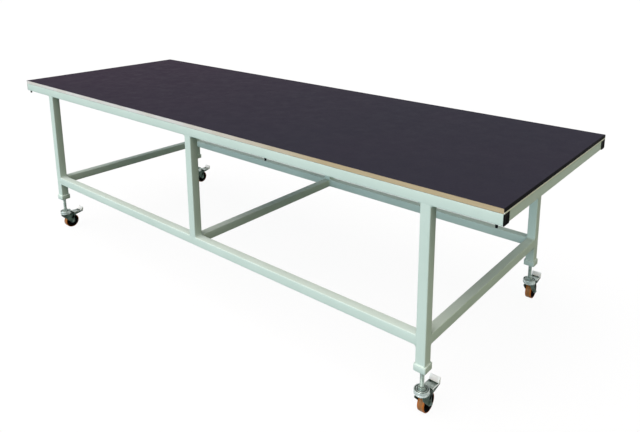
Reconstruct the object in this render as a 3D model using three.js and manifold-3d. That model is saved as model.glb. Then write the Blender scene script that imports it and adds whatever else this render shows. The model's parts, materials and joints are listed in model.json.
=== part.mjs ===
// Assembly table: a film-faced plywood top on a welded frame of square tube, standing on four
// braked swivel casters whose threaded stems screw into the feet.
// Millimetres, +Z up. X runs along the table, -Y is the front, z = 0 is the floor.
import * as THREE from 'three';
import { mergeVertices } from 'three/addons/utils/BufferGeometryUtils.js';
import Module from 'manifold-3d';

const wasm = await Module();
wasm.setup();

// Top
const TOP_LENGTH = 3000;
const TOP_WIDTH = 1000;
const TABLE_HEIGHT = 860;
const BOARD_THICKNESS = 18;
const BOARD_EASING = 0.8;
const EDGE_BAND = 2;

// Frame
const TUBE = 40;
const TUBE_WALL = 2;
const TUBE_CORNER = 3.5;
const LEG_SETBACK = 250;
const LOWER_RAIL_CLEARANCE = 280;
const CAP_FLANGE = 3;
const CAP_PLUG = 18;
const COLLAR_CLEARANCE = 185;
const COLLAR_HEIGHT = 25;
const COLLAR_WALL = 4.7;
const COLLAR_FLOOR = 10;
const COLLAR_CORNER = 5;
const COLLAR_EASING = 1.5;

// Caster wheel
const WHEEL_DIAMETER = 75;
const WHEEL_WIDTH = 28;
const TREAD_THICKNESS = 3.5;
const TREAD_SHOULDER = 2.2;
const HUB_RADIUS = 9;
const HUB_DRAFT = 1;
const WEB_THICKNESS = 8;
const RIM_THICKNESS = 4;
const TRAIL = 30;

// Caster fork and swivel head
const FORK_STEEL = 2.5;
const FORK_BEND = 7;
const FORK_SHOULDER = 8;
const AXLE_BOSS = 11;
const WHEEL_SIDE_ROOM = 2.5;
const WHEEL_HEADROOM = 7.5;
const CUP_RADIUS = 28.5;
const CUP_WALL = 3.5;
const CUP_HEIGHT = 23;
const CUP_WAIST = 1.2;
const RACE_GROOVE = 4;
const CAP_HUB_RADIUS = 14;

// Stem and axle
const STEM_RADIUS = 8;
const STEM_ENGAGEMENT = 75;
const STEM_HEX_FLATS = 24;
const STEM_HEX_HEIGHT = 8;
const KING_PIN_RADIUS = 6;
const KING_PIN_HEAD = 10;
const KING_PIN_HEAD_HEIGHT = 3;
const AXLE_RADIUS = 4;
const AXLE_HEX_FLATS = 13;
const AXLE_HEX_HEIGHT = 6;
const AXLE_THREAD_END = 2;

// Brake pedal
const PEDAL_STEEL = 2.2;
const PEDAL_REACH = 46;
const PEDAL_TILT = THREE.MathUtils.degToRad(-4);
const PEDAL_TRAVEL = THREE.MathUtils.degToRad(16);
const PEDAL_DECK = 9.7;
const PEDAL_EYE = 7.5;
const PEDAL_CORNER = 3;
const PIVOT_DROP = 5;
const PIVOT_RADIUS = 3;
const EAR_RADIUS = 7;
const RIVET_RADIUS = 5;
const RIVET_HEIGHT = 1.5;
const CUP_TO_PEDAL = 10;
const NOSE_ANGLE = THREE.MathUtils.degToRad(-70);
const NOSE_TIP = 2.5;
const NOSE_ROOT = 4;
const NOSE_WIDTH = 20;
const BRAKE_GAP = 0.8;
const DECK_HOLE = 3.5;
const PAD_WIDTH = 42;
const PAD_LENGTH = 11;
const PAD_HEIGHT = 18;
const PAD_EDGE = 1.4;
const PAD_CREST = 2.5;
const PAD_LIP = 6;

// Fits: the root gap of a welded or seated joint, and the gap round a pin, plug or sleeve
const SEAT = 0.2;
const CLEARANCE = 0.3;

// Facets: pairs in each arc of an outline, and sides round a full turn
const CORNER_STEPS = 1;
const BELT_STEPS = 2;
const PIN_SIDES = 12;
const CUP_SIDES = 20;
const WHEEL_SIDES = 24;

// Places that follow from the sizes above
const RAIL_Y = TOP_WIDTH / 2 - TUBE / 2;
const LEG_X = TOP_LENGTH / 2 - LEG_SETBACK - TUBE / 2;
const TOP_RAIL_Z = TABLE_HEIGHT - BOARD_THICKNESS - SEAT - TUBE / 2;
const UPRIGHT_TOP = TOP_RAIL_Z - TUBE / 2 - SEAT;
const LOWER_RAIL_Z = LOWER_RAIL_CLEARANCE + TUBE / 2;
const TOP_RAIL_HALF = TOP_LENGTH / 2 - CAP_FLANGE - SEAT;
const LOWER_RAIL_HALF = LEG_X - TUBE / 2 - SEAT;
const CROSS_HALF = RAIL_Y - TUBE / 2 - SEAT;

const WHEEL_RADIUS = WHEEL_DIAMETER / 2;
const FORK_INSIDE = WHEEL_WIDTH / 2 + WHEEL_SIDE_ROOM;
const FORK_OUTSIDE = FORK_INSIDE + FORK_STEEL;
const CROWN_UNDERSIDE = WHEEL_DIAMETER + WHEEL_HEADROOM;
const CROWN_TOP = CROWN_UNDERSIDE + FORK_STEEL;
const CUP_FLOOR = CROWN_TOP + FORK_STEEL;
const HEAD_TOP = CROWN_TOP + CUP_HEIGHT;
const STEM_TOP = COLLAR_CLEARANCE + STEM_ENGAGEMENT;
const PIVOT_Y = CUP_RADIUS + CUP_TO_PEDAL + PEDAL_EYE;
const PIVOT_Z = CROWN_TOP - PIVOT_DROP;
const PEDAL_INSIDE = FORK_OUTSIDE + 2 * CLEARANCE;
const PEDAL_OUTSIDE = PEDAL_INSIDE + PEDAL_STEEL;

// A closed three.js geometry as a solid for joining and cutting.
function solid(geometry) {
  const bare = geometry.index ? geometry.toNonIndexed() : geometry.clone();
  bare.deleteAttribute('normal');
  bare.deleteAttribute('uv');
  const merged = mergeVertices(bare, 1e-3);
  const vertProperties = merged.attributes.position.array;
  const triVerts = new Uint32Array(merged.index.array);
  return new wasm.Manifold(new wasm.Mesh({ numProp: 3, vertProperties, triVerts }));
}

// A solid back as a three.js geometry.
function toGeometry(body) {
  const { vertProperties, triVerts } = body.getMesh();
  const geometry = new THREE.BufferGeometry();
  geometry.setAttribute('position', new THREE.BufferAttribute(vertProperties, 3));
  geometry.setIndex(new THREE.BufferAttribute(triVerts, 1));
  geometry.computeVertexNormals();
  return geometry;
}

// Square outline round the origin, with its corners rounded where a radius is given.
function squareOutline(side, radius = 0) {
  const half = side / 2;
  const inner = half - radius;
  const shape = new THREE.Shape();
  if (radius === 0) {
    return shape.setFromPoints([
      new THREE.Vector2(-half, -half),
      new THREE.Vector2(half, -half),
      new THREE.Vector2(half, half),
      new THREE.Vector2(-half, half),
    ]);
  }
  shape.absarc(inner, -inner, radius, -Math.PI / 2, 0);
  shape.absarc(inner, inner, radius, 0, Math.PI / 2);
  shape.absarc(-inner, inner, radius, Math.PI / 2, Math.PI);
  shape.absarc(-inner, -inner, radius, Math.PI, Math.PI * 1.5);
  return shape;
}

// Outline of a belt drawn tight round circles { a, b, r } listed anticlockwise.
function beltOutline(circles) {
  const count = circles.length;
  const tangent = circles.map((from, i) => {
    const to = circles[(i + 1) % count];
    const run = Math.hypot(to.a - from.a, to.b - from.b);
    return Math.atan2(to.b - from.b, to.a - from.a) - Math.acos((from.r - to.r) / run);
  });
  const shape = new THREE.Shape();
  circles.forEach(({ a, b, r }, i) => {
    const start = tangent[(i + count - 1) % count];
    const turn = THREE.MathUtils.euclideanModulo(tangent[i] - start, 2 * Math.PI);
    shape.absarc(a, b, r, start, start + turn);
  });
  return shape;
}

// An outline carried straight up +Z from z = 0.
function prism(outline, height, steps = CORNER_STEPS) {
  return new THREE.ExtrudeGeometry(outline, { depth: height, bevelEnabled: false, curveSegments: steps });
}

// A prism whose upper and lower rims are chamfered by the easing, inside the same height and outline.
function easedPrism(outline, height, easing) {
  const body = new THREE.ExtrudeGeometry(outline, {
    depth: height - 2 * easing,
    bevelThickness: easing,
    bevelSize: easing,
    bevelOffset: -easing,
    bevelSegments: 1,
    curveSegments: CORNER_STEPS,
  });
  return body.translate(0, 0, easing);
}

// A side view outline, drawn in Y and Z, carried across X for a width centred on x = 0.
const ACROSS_X = new THREE.Matrix4().makeBasis(
  new THREE.Vector3(0, 1, 0),
  new THREE.Vector3(0, 0, 1),
  new THREE.Vector3(1, 0, 0),
);
function crosswise(outline, width) {
  return prism(outline, width, BELT_STEPS).translate(0, 0, -width / 2).applyMatrix4(ACROSS_X);
}

// A profile of [radius, height] pairs turned round Z, with its flats at the true radius.
// Profiles run anticlockwise and either start and end on the axis or close on themselves.
function turned(profile, sides) {
  const corner = 1 / Math.cos(Math.PI / sides);
  const points = profile.map(([radius, height]) => new THREE.Vector2(radius * corner, height));
  return new THREE.LatheGeometry(points, sides, Math.PI / sides).rotateX(Math.PI / 2);
}

// A turned piece laid along X.
function turnedAlongX(profile, sides) {
  return turned(profile, sides).rotateY(Math.PI / 2);
}

// A pin from one height to another.
function pin(radius, from, to, sides = PIN_SIDES) {
  return turned([[0, from], [radius, from], [radius, to], [0, to]], sides);
}

// A pin laid along X, reaching the same distance to both sides of x = 0.
function crosspin(radius, reach) {
  return pin(radius, -reach, reach).rotateY(Math.PI / 2);
}

// A hexagon bar by its width across flats.
function hexagon(flats, from, to) {
  return pin(flats / 2, from, to, 6);
}

// Finishes
const filmFaced = new THREE.MeshStandardMaterial({ color: 0x3d3a46, roughness: 0.55 });
const blackPlastic = new THREE.MeshStandardMaterial({ color: 0x17171a, roughness: 0.5 });
const framePaint = new THREE.MeshStandardMaterial({ color: 0xc6d6cd, roughness: 0.45 });
const zinc = new THREE.MeshStandardMaterial({ color: 0xb9c2c0, roughness: 0.35, metalness: 0.9 });
const treadOrange = new THREE.MeshStandardMaterial({ color: 0x9a5a26, roughness: 0.6 });
const palePlastic = new THREE.MeshStandardMaterial({ color: 0xe6e8e4, roughness: 0.5 });

const table = new THREE.Group();
const sides = [['front', -1], ['rear', 1]];
const ends = [['left', -1], ['right', 1]];

// Adds one named piece, each with its own copy of its finish.
function addPiece(name, geometry, finish, parent = table) {
  const material = finish.clone();
  material.flatShading = true;
  const mesh = new THREE.Mesh(geometry, material);
  mesh.name = name;
  parent.add(mesh);
  return mesh;
}

// Board with eased rims, between two edge bands at the short ends
function board() {
  const halfLength = TOP_LENGTH / 2 - EDGE_BAND - SEAT;
  const halfWidth = TOP_WIDTH / 2;
  const outline = new THREE.Shape([
    new THREE.Vector2(-halfLength, -halfWidth),
    new THREE.Vector2(halfLength, -halfWidth),
    new THREE.Vector2(halfLength, halfWidth),
    new THREE.Vector2(-halfLength, halfWidth),
  ]);
  return easedPrism(outline, BOARD_THICKNESS, BOARD_EASING);
}

addPiece('top_board', board(), filmFaced).position.z = TABLE_HEIGHT - BOARD_THICKNESS;
for (const [end, way] of ends) {
  const band = new THREE.BoxGeometry(EDGE_BAND, TOP_WIDTH, BOARD_THICKNESS);
  const x = way * (TOP_LENGTH / 2 - EDGE_BAND / 2);
  addPiece(`${end}_edge_band`, band, blackPlastic).position.set(x, 0, TABLE_HEIGHT - BOARD_THICKNESS / 2);
}

// Square tube standing on z = 0, open at both ends.
function tube(length) {
  const section = squareOutline(TUBE, TUBE_CORNER);
  section.holes.push(squareOutline(TUBE - 2 * TUBE_WALL));
  return prism(section, length);
}

function addRail(name, halfLength, y, z) {
  const rail = addPiece(name, tube(2 * halfLength), framePaint);
  rail.rotation.y = Math.PI / 2;
  rail.position.set(-halfLength, y, z);
}

function addCrossBar(name, x, z) {
  const bar = addPiece(name, tube(2 * CROSS_HALF), framePaint);
  bar.rotation.x = -Math.PI / 2;
  bar.position.set(x, -CROSS_HALF, z);
}

function addUpright(name, x, y, from) {
  addPiece(name, tube(UPRIGHT_TOP - from), framePaint).position.set(x, y, from);
}

// Plastic cap: a flange over the tube's end and a plug inside it, pointing along +Z.
function endCap() {
  const plugSide = TUBE - 2 * TUBE_WALL - 2 * CLEARANCE;
  const flange = solid(easedPrism(squareOutline(TUBE, TUBE_CORNER), CAP_FLANGE, CAP_FLANGE / 4));
  const plug = solid(prism(squareOutline(plugSide), CAP_PLUG + CAP_FLANGE / 2).translate(0, 0, -CAP_PLUG));
  return toGeometry(flange.add(plug));
}

// Square cup round the foot of a leg, with a threaded hole in its floor.
function footCollar() {
  const pocket = TUBE + 2 * CLEARANCE;
  const outside = squareOutline(pocket + 2 * COLLAR_WALL, COLLAR_CORNER);
  const body = solid(easedPrism(outside, COLLAR_HEIGHT, COLLAR_EASING));
  const legRoom = prism(squareOutline(pocket, TUBE_CORNER), COLLAR_HEIGHT).translate(0, 0, COLLAR_FLOOR);
  const bore = pin(STEM_RADIUS + CLEARANCE, -COLLAR_HEIGHT, 2 * COLLAR_HEIGHT);
  return toGeometry(body.subtract(solid(legRoom)).subtract(solid(bore)));
}

const capGeometry = endCap();
const collarGeometry = footCollar();
const cornerSeats = [];

for (const [side, sideWay] of sides) {
  const y = sideWay * RAIL_Y;
  addRail(`${side}_top_rail`, TOP_RAIL_HALF, y, TOP_RAIL_Z);
  addRail(`${side}_lower_rail`, LOWER_RAIL_HALF, y, LOWER_RAIL_Z);
  addUpright(`${side}_middle_post`, 0, y, LOWER_RAIL_Z + TUBE / 2 + SEAT);
  for (const [end, endWay] of ends) {
    const corner = `${side}_${end}`;
    const x = endWay * LEG_X;
    const cap = addPiece(`${corner}_end_cap`, capGeometry, blackPlastic);
    cap.rotation.y = endWay * Math.PI / 2;
    cap.position.set(endWay * (TOP_RAIL_HALF + SEAT), y, TOP_RAIL_Z);
    addUpright(`${corner}_leg`, x, y, COLLAR_CLEARANCE + COLLAR_FLOOR + SEAT);
    addPiece(`${corner}_foot_collar`, collarGeometry, framePaint).position.set(x, y, COLLAR_CLEARANCE);
    cornerSeats.push([corner, x, y]);
  }
}
for (const [end, endWay] of ends) {
  addCrossBar(`${end}_end_rail`, endWay * (TOP_RAIL_HALF - TUBE / 2), TOP_RAIL_Z);
  addCrossBar(`${end}_lower_bar`, endWay * LEG_X, LOWER_RAIL_Z);
}
addCrossBar('middle_top_rail', 0, TOP_RAIL_Z);
addCrossBar('middle_lower_bar', 0, LOWER_RAIL_Z);

// Threaded stud: king pin with its riveted end below, spanner hexagon, plain thread cylinder above.
function stem() {
  const thread = STEM_RADIUS;
  const rivet = CROWN_UNDERSIDE - CLEARANCE;
  const chamfer = thread / 5;
  const stud = turned([
    [0, rivet - KING_PIN_HEAD_HEIGHT],
    [KING_PIN_HEAD - KING_PIN_HEAD_HEIGHT / 2, rivet - KING_PIN_HEAD_HEIGHT],
    [KING_PIN_HEAD, rivet - KING_PIN_HEAD_HEIGHT / 2],
    [KING_PIN_HEAD, rivet],
    [KING_PIN_RADIUS, rivet],
    [KING_PIN_RADIUS, HEAD_TOP + STEM_HEX_HEIGHT / 2],
    [thread, HEAD_TOP + STEM_HEX_HEIGHT / 2],
    [thread, STEM_TOP - chamfer],
    [thread - chamfer, STEM_TOP],
    [0, STEM_TOP],
  ], PIN_SIDES);
  return toGeometry(solid(stud).add(solid(hexagon(STEM_HEX_FLATS, HEAD_TOP, HEAD_TOP + STEM_HEX_HEIGHT))));
}

// Fixed upper race: a hub on the cup's floor that opens into a dished plate under the hexagon.
function bearingCap() {
  const bore = KING_PIN_RADIUS + CLEARANCE;
  const rim = CUP_RADIUS - CUP_WALL - RACE_GROOVE;
  const floor = CUP_FLOOR + CLEARANCE;
  const top = HEAD_TOP - CLEARANCE;
  const plate = CUP_WALL;
  return turned([
    [bore, floor],
    [CAP_HUB_RADIUS, floor],
    [CAP_HUB_RADIUS, top - 2 * plate],
    [rim, top - 1.5 * plate],
    [rim, top - plate / 2],
    [rim - plate / 2, top],
    [bore, top],
    [bore, floor],
  ], CUP_SIDES);
}

// Pressed fork: a bent channel trimmed to its side view, ears for the pedal, and the swivel cup.
function fork() {
  const bent = new THREE.Shape();
  bent.moveTo(-FORK_OUTSIDE, 0);
  bent.lineTo(-FORK_INSIDE, 0);
  const innerBend = FORK_BEND - FORK_STEEL;
  bent.absarc(-FORK_INSIDE + innerBend, CROWN_UNDERSIDE - innerBend, innerBend, Math.PI, Math.PI / 2, true);
  bent.absarc(FORK_INSIDE - innerBend, CROWN_UNDERSIDE - innerBend, innerBend, Math.PI / 2, 0, true);
  bent.lineTo(FORK_INSIDE, 0);
  bent.lineTo(FORK_OUTSIDE, 0);
  bent.absarc(FORK_OUTSIDE - FORK_BEND, CROWN_TOP - FORK_BEND, FORK_BEND, 0, Math.PI / 2);
  bent.absarc(-FORK_OUTSIDE + FORK_BEND, CROWN_TOP - FORK_BEND, FORK_BEND, Math.PI / 2, Math.PI);
  const depth = 2 * (CUP_RADIUS + TRAIL + AXLE_BOSS);
  const channel = solid(prism(bent, depth, BELT_STEPS).rotateX(Math.PI / 2).translate(0, depth / 2, 0));

  const shoulderZ = CROWN_TOP - FORK_SHOULDER;
  const axle = { a: TRAIL, b: WHEEL_RADIUS, r: AXLE_BOSS };
  const front = { a: FORK_SHOULDER - FORK_OUTSIDE, b: shoulderZ, r: FORK_SHOULDER };
  const rear = { a: TRAIL, b: shoulderZ, r: FORK_SHOULDER };
  const cheeks = solid(crosswise(beltOutline([front, axle, rear]), 2 * FORK_OUTSIDE));

  const pivot = { a: PIVOT_Y, b: PIVOT_Z, r: EAR_RADIUS };
  const earFoot = { a: TRAIL, b: (WHEEL_RADIUS + PIVOT_Z) / 2, r: EAR_RADIUS };
  const earOutline = beltOutline([earFoot, pivot]);
  const ears = solid(crosswise(earOutline, 2 * FORK_OUTSIDE)).subtract(
    solid(crosswise(earOutline, 2 * FORK_INSIDE)),
  );

  const cupInside = CUP_RADIUS - CUP_WALL;
  const waist = CUP_RADIUS - CUP_WAIST;
  const lip = CUP_WALL / 3;
  const cup = solid(turned([
    [0, CROWN_TOP - lip],
    [FORK_OUTSIDE, CROWN_TOP - lip],
    [CUP_RADIUS, CROWN_TOP + 2 * CUP_WALL],
    [waist, CROWN_TOP + 3 * CUP_WALL],
    [waist, HEAD_TOP - 2 * CUP_WALL],
    [CUP_RADIUS, HEAD_TOP - 1.5 * CUP_WALL],
    [CUP_RADIUS, HEAD_TOP - lip],
    [CUP_RADIUS - lip, HEAD_TOP],
    [cupInside, HEAD_TOP],
    [cupInside, CUP_FLOOR],
    [0, CUP_FLOOR],
  ], CUP_SIDES));

  const kingBore = pin(KING_PIN_RADIUS + CLEARANCE, 0, HEAD_TOP);
  const axleBore = crosspin(AXLE_RADIUS + CLEARANCE, FORK_OUTSIDE * 2).translate(0, TRAIL, WHEEL_RADIUS);
  const pivotBore = crosspin(PIVOT_RADIUS + CLEARANCE, FORK_OUTSIDE * 2).translate(0, PIVOT_Y, PIVOT_Z);
  const body = channel.intersect(cheeks).add(ears).add(cup);
  return toGeometry(body.subtract(solid(kingBore)).subtract(solid(axleBore)).subtract(solid(pivotBore)));
}

// Axle bolt through both fork cheeks, with its head on one side and its nut on the other.
function axleBolt() {
  const seat = FORK_OUTSIDE + CLEARANCE;
  const nutEnd = seat + AXLE_HEX_HEIGHT;
  const shank = solid(pin(AXLE_RADIUS, -seat - AXLE_HEX_HEIGHT / 2, nutEnd + AXLE_THREAD_END));
  const head = solid(hexagon(AXLE_HEX_FLATS, -nutEnd, -seat));
  const nut = solid(hexagon(AXLE_HEX_FLATS, seat, nutEnd));
  return toGeometry(shank.add(head).add(nut)).rotateY(Math.PI / 2);
}

// Wheel core: hub on the axle, thin dished web, and the rim that carries the tread.
function wheelCore() {
  const bore = AXLE_RADIUS + CLEARANCE;
  const rimTop = WHEEL_RADIUS - TREAD_THICKNESS - CLEARANCE;
  const rimFoot = rimTop - RIM_THICKNESS;
  const hubHalf = FORK_INSIDE - WHEEL_SIDE_ROOM / 2;
  const rimHalf = WHEEL_WIDTH / 2 - CLEARANCE;
  const webHalf = WEB_THICKNESS / 2;
  const half = [
    [bore, hubHalf],
    [HUB_RADIUS, hubHalf],
    [HUB_RADIUS + HUB_DRAFT, webHalf],
    [rimFoot - RIM_THICKNESS, webHalf],
    [rimFoot, rimHalf],
    [rimTop, rimHalf],
  ];
  const lower = half.map(([radius, height]) => [radius, -height]);
  return turnedAlongX([...lower, ...half.reverse(), lower[0]], WHEEL_SIDES);
}

// Tread: a cast ring with rounded shoulders.
function tyre() {
  const inside = WHEEL_RADIUS - TREAD_THICKNESS;
  const half = WHEEL_WIDTH / 2;
  const shoulder = TREAD_SHOULDER;
  const middle = shoulder * (1 - Math.SQRT1_2);
  return turnedAlongX([
    [inside, -half],
    [WHEEL_RADIUS - shoulder, -half],
    [WHEEL_RADIUS - middle, -half + middle],
    [WHEEL_RADIUS, -half + shoulder],
    [WHEEL_RADIUS, half - shoulder],
    [WHEEL_RADIUS - middle, half - middle],
    [WHEEL_RADIUS - shoulder, half],
    [inside, half],
    [inside, -half],
  ], WHEEL_SIDES);
}

// How far from the pivot the brake nose's tip is centred, so that with the pedal down
// the nose stands the brake gap off the tread.
function noseReach() {
  const angle = NOSE_ANGLE - PEDAL_TRAVEL;
  const fromAxleY = PIVOT_Y - TRAIL;
  const fromAxleZ = PIVOT_Z - WHEEL_RADIUS;
  const along = fromAxleY * Math.cos(angle) + fromAxleZ * Math.sin(angle);
  const touch = WHEEL_RADIUS + NOSE_TIP + BRAKE_GAP;
  const spare = fromAxleY ** 2 + fromAxleZ ** 2 - touch ** 2;
  return -along - Math.sqrt(along ** 2 - spare);
}

// Pressed pedal: a channel over the fork's ears, its rivet through them, and the brake nose inside.
// Drawn with the pivot at the origin and the deck level.
function pedal() {
  const eye = { a: 0, b: 0, r: PEDAL_EYE };
  const tip = { a: PEDAL_REACH - PEDAL_CORNER, b: PEDAL_DECK - PEDAL_CORNER, r: PEDAL_CORNER };
  const heel = { a: PEDAL_CORNER - PEDAL_EYE, b: PEDAL_DECK - PEDAL_CORNER, r: PEDAL_CORNER };
  const block = solid(crosswise(beltOutline([eye, tip, heel]), 2 * PEDAL_OUTSIDE));
  const underside = PEDAL_DECK - PEDAL_STEEL;
  const hollow = new THREE.BoxGeometry(2 * PEDAL_INSIDE, 4 * PEDAL_REACH, 4 * PEDAL_REACH);
  hollow.translate(0, 0, underside - 2 * PEDAL_REACH);

  const holeAlong = PEDAL_REACH - PAD_LENGTH - 2 * DECK_HOLE;
  const deckHole = pin(DECK_HOLE, 0, 2 * PEDAL_DECK).translate(-PEDAL_INSIDE / 2, holeAlong, 0);
  const deck = block.subtract(solid(hollow)).subtract(solid(deckHole));

  const reach = noseReach();
  const direction = NOSE_ANGLE - PEDAL_TILT;
  const noseTip = { a: reach * Math.cos(direction), b: reach * Math.sin(direction), r: NOSE_TIP };
  const noseRoot = { a: 0, b: PEDAL_DECK - NOSE_ROOT, r: NOSE_ROOT };
  const nose = solid(crosswise(beltOutline([noseTip, noseRoot]), NOSE_WIDTH));

  const shank = solid(crosspin(PIVOT_RADIUS, PEDAL_OUTSIDE));
  const rivetHead = pin(RIVET_RADIUS, PEDAL_OUTSIDE - PEDAL_STEEL / 2, PEDAL_OUTSIDE + RIVET_HEIGHT);
  const rivetRight = solid(rivetHead.clone().rotateY(Math.PI / 2));
  const rivetLeft = solid(rivetHead.clone().rotateY(-Math.PI / 2));
  return toGeometry(deck.add(nose).add(shank).add(rivetRight).add(rivetLeft));
}

// Plastic pad: a steep toe rest on the end of the deck with a lip down over its edge.
function pedalPad() {
  const bottom = PEDAL_DECK + CLEARANCE;
  const lipA = PEDAL_REACH + CLEARANCE + PAD_EDGE;
  const front = { a: PEDAL_REACH - PAD_LENGTH + PAD_EDGE, b: bottom + PAD_EDGE, r: PAD_EDGE };
  const back = { a: lipA, b: bottom + PAD_EDGE, r: PAD_EDGE };
  const crest = { a: lipA + PAD_EDGE - PAD_CREST, b: bottom + PAD_HEIGHT - PAD_CREST, r: PAD_CREST };
  const wedge = solid(crosswise(beltOutline([front, back, crest]), PAD_WIDTH));
  const lipEnd = { a: lipA, b: bottom + PAD_EDGE - PAD_LIP, r: PAD_EDGE };
  const lip = solid(crosswise(beltOutline([lipEnd, back]), PAD_WIDTH));
  return toGeometry(wedge.add(lip));
}

const casterPieces = {
  stem: stem(),
  bearingCap: bearingCap(),
  fork: fork(),
  axleBolt: axleBolt(),
  wheelCore: wheelCore(),
  tyre: tyre(),
  pedal: pedal(),
  pedalPad: pedalPad(),
};

for (const [corner, x, y] of cornerSeats) {
  const caster = new THREE.Group();
  caster.position.set(x, y, 0);
  addPiece(`${corner}_stem`, casterPieces.stem, zinc, caster);
  addPiece(`${corner}_bearing_cap`, casterPieces.bearingCap, zinc, caster);
  addPiece(`${corner}_fork`, casterPieces.fork, zinc, caster);

  const wheel = new THREE.Group();
  wheel.position.set(0, TRAIL, WHEEL_RADIUS);
  addPiece(`${corner}_axle_bolt`, casterPieces.axleBolt, zinc, wheel);
  addPiece(`${corner}_wheel_core`, casterPieces.wheelCore, blackPlastic, wheel);
  addPiece(`${corner}_tyre`, casterPieces.tyre, treadOrange, wheel);

  const brake = new THREE.Group();
  brake.position.set(0, PIVOT_Y, PIVOT_Z);
  brake.rotation.x = PEDAL_TILT;
  addPiece(`${corner}_pedal`, casterPieces.pedal, zinc, brake);
  addPiece(`${corner}_pedal_pad`, casterPieces.pedalPad, palePlastic, brake);

  caster.add(wheel, brake);
  table.add(caster);
}

export default table;
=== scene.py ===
import json
import math

import bmesh
import bpy
from mathutils import Matrix, Vector


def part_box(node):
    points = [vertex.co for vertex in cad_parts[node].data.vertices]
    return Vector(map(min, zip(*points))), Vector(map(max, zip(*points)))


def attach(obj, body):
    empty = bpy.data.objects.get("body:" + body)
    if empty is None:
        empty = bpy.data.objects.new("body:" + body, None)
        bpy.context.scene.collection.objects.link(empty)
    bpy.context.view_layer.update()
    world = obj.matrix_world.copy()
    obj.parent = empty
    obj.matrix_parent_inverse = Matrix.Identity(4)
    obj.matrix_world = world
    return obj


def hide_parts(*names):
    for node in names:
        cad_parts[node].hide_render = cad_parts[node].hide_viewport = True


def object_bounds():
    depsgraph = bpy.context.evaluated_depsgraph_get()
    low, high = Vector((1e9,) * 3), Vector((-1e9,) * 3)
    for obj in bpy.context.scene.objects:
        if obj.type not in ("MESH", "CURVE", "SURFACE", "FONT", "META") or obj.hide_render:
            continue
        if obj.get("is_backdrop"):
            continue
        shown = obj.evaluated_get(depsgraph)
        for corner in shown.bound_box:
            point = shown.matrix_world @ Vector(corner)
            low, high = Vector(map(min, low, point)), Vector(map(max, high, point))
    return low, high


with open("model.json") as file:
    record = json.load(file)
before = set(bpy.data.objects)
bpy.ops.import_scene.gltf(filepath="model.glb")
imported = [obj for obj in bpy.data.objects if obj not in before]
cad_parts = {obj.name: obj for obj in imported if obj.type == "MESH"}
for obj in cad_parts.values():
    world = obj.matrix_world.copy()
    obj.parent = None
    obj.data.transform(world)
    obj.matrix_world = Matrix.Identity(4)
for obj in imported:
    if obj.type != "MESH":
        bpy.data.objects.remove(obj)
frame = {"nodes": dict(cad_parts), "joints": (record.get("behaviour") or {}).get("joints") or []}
cad_low, cad_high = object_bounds()

# Top board
# One sheet of film-faced plywood. Dark resin film is pressed on both faces, and the long edges are sawn
# and left bare, so their plies show. It lies on the top rails and is screwed to them from below.
FILM = (0.0262, 0.0263, 0.0372, 1)
FILM_PALE = (0.0322, 0.0233, 0.0376, 1)
FILM_SHEEN = 0.0028
FILM_CLOUDS = (2.2, -0.07, 0.07)
FILM_SPECKS = (160.0, 0.93, 1.07)
FILM_GLOSS = (18.0, 0.42, 0.58)
FILM_GRAIN = (420.0, 0.00005)
PALER_LEFT_RUN = (-1.5, 0.6)
PALER_LEFT_SHARES = (0.85, 0.15)
PLY_FACE = (0.535, 0.420, 0.255, 1)
PLY_END_GRAIN = (0.345, 0.242, 0.118, 1)
PLY_PALE_END = (0.700, 0.690, 0.680, 1)
PLY_THICKNESS = 0.0014
PLY_CROSSING = (0.35, 0.65)
PLY_PATCHES = (6.0, 0.6, 1.0)
PLY_ROUGHNESS = 0.85
FIBRE_SCALE = (14.0, 1.0, 900.0)
FIBRE_RANGE = (0.35, 0.7)
FIBRE_SHARES = (0.0, 0.55)
PALE_END_RUN = (-0.1, 0.8)
PALE_END_SHARES = (1.0, 0.08)
EDGE_STEEPNESS = 0.5
NOISE_MIDDLE = (0.3, 0.7)
EDGE_AGREEMENT = (0.98, 0.8)
COLOUR_MIX_SOCKETS = (0, 6, 7)
NUMBER = "NodeSocketFloat"
VECTOR = "NodeSocketVector"


def feed(tree, socket, value):
    """Sets a socket to a value, or joins an output to it."""
    if isinstance(value, bpy.types.NodeSocket):
        tree.links.new(value, socket)
    else:
        socket.default_value = value


def add_node(tree, kind, settings=None, **inputs):
    """Adds a node with its settings, and feeds its inputs."""
    node = tree.nodes.new(kind)
    for key, value in (settings or {}).items():
        setattr(node, key, value)
    for name, value in inputs.items():
        feed(tree, node.inputs[name.replace("_", " ")], value)
    return node


def calculate(tree, operation, *terms):
    """A sum, product or comparison of outputs and numbers."""
    node = add_node(tree, "ShaderNodeMath", {"operation": operation})
    for socket, term in zip(node.inputs, terms):
        feed(tree, socket, term)
    return node.outputs["Value"]


def agreement(tree, first, second):
    """How far two directions agree: one where they are alike, nought where they are square."""
    node = add_node(tree, "ShaderNodeVectorMath", {"operation": "DOT_PRODUCT"})
    feed(tree, node.inputs[0], first)
    feed(tree, node.inputs[1], second)
    return node.outputs["Value"]


def split(tree, vector):
    """The X, Y and Z of a vector."""
    return add_node(tree, "ShaderNodeSeparateXYZ", Vector=vector).outputs


def blend_colours(tree, factor, first, second, blend_type="MIX"):
    """One colour laid over another by a factor."""
    node = add_node(tree, "ShaderNodeMix", {"data_type": "RGBA", "blend_type": blend_type})
    for number, value in zip(COLOUR_MIX_SOCKETS, (factor, first, second)):
        feed(tree, node.inputs[number], value)
    return node.outputs[2]


def remap(tree, value, old, new=(0.0, 1.0)):
    """A value carried from an old range to a new one, and held inside it."""
    node = add_node(tree, "ShaderNodeMapRange", Value=value, From_Min=old[0], From_Max=old[1],
                    To_Min=new[0], To_Max=new[1])
    return node.outputs["Result"]


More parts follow.
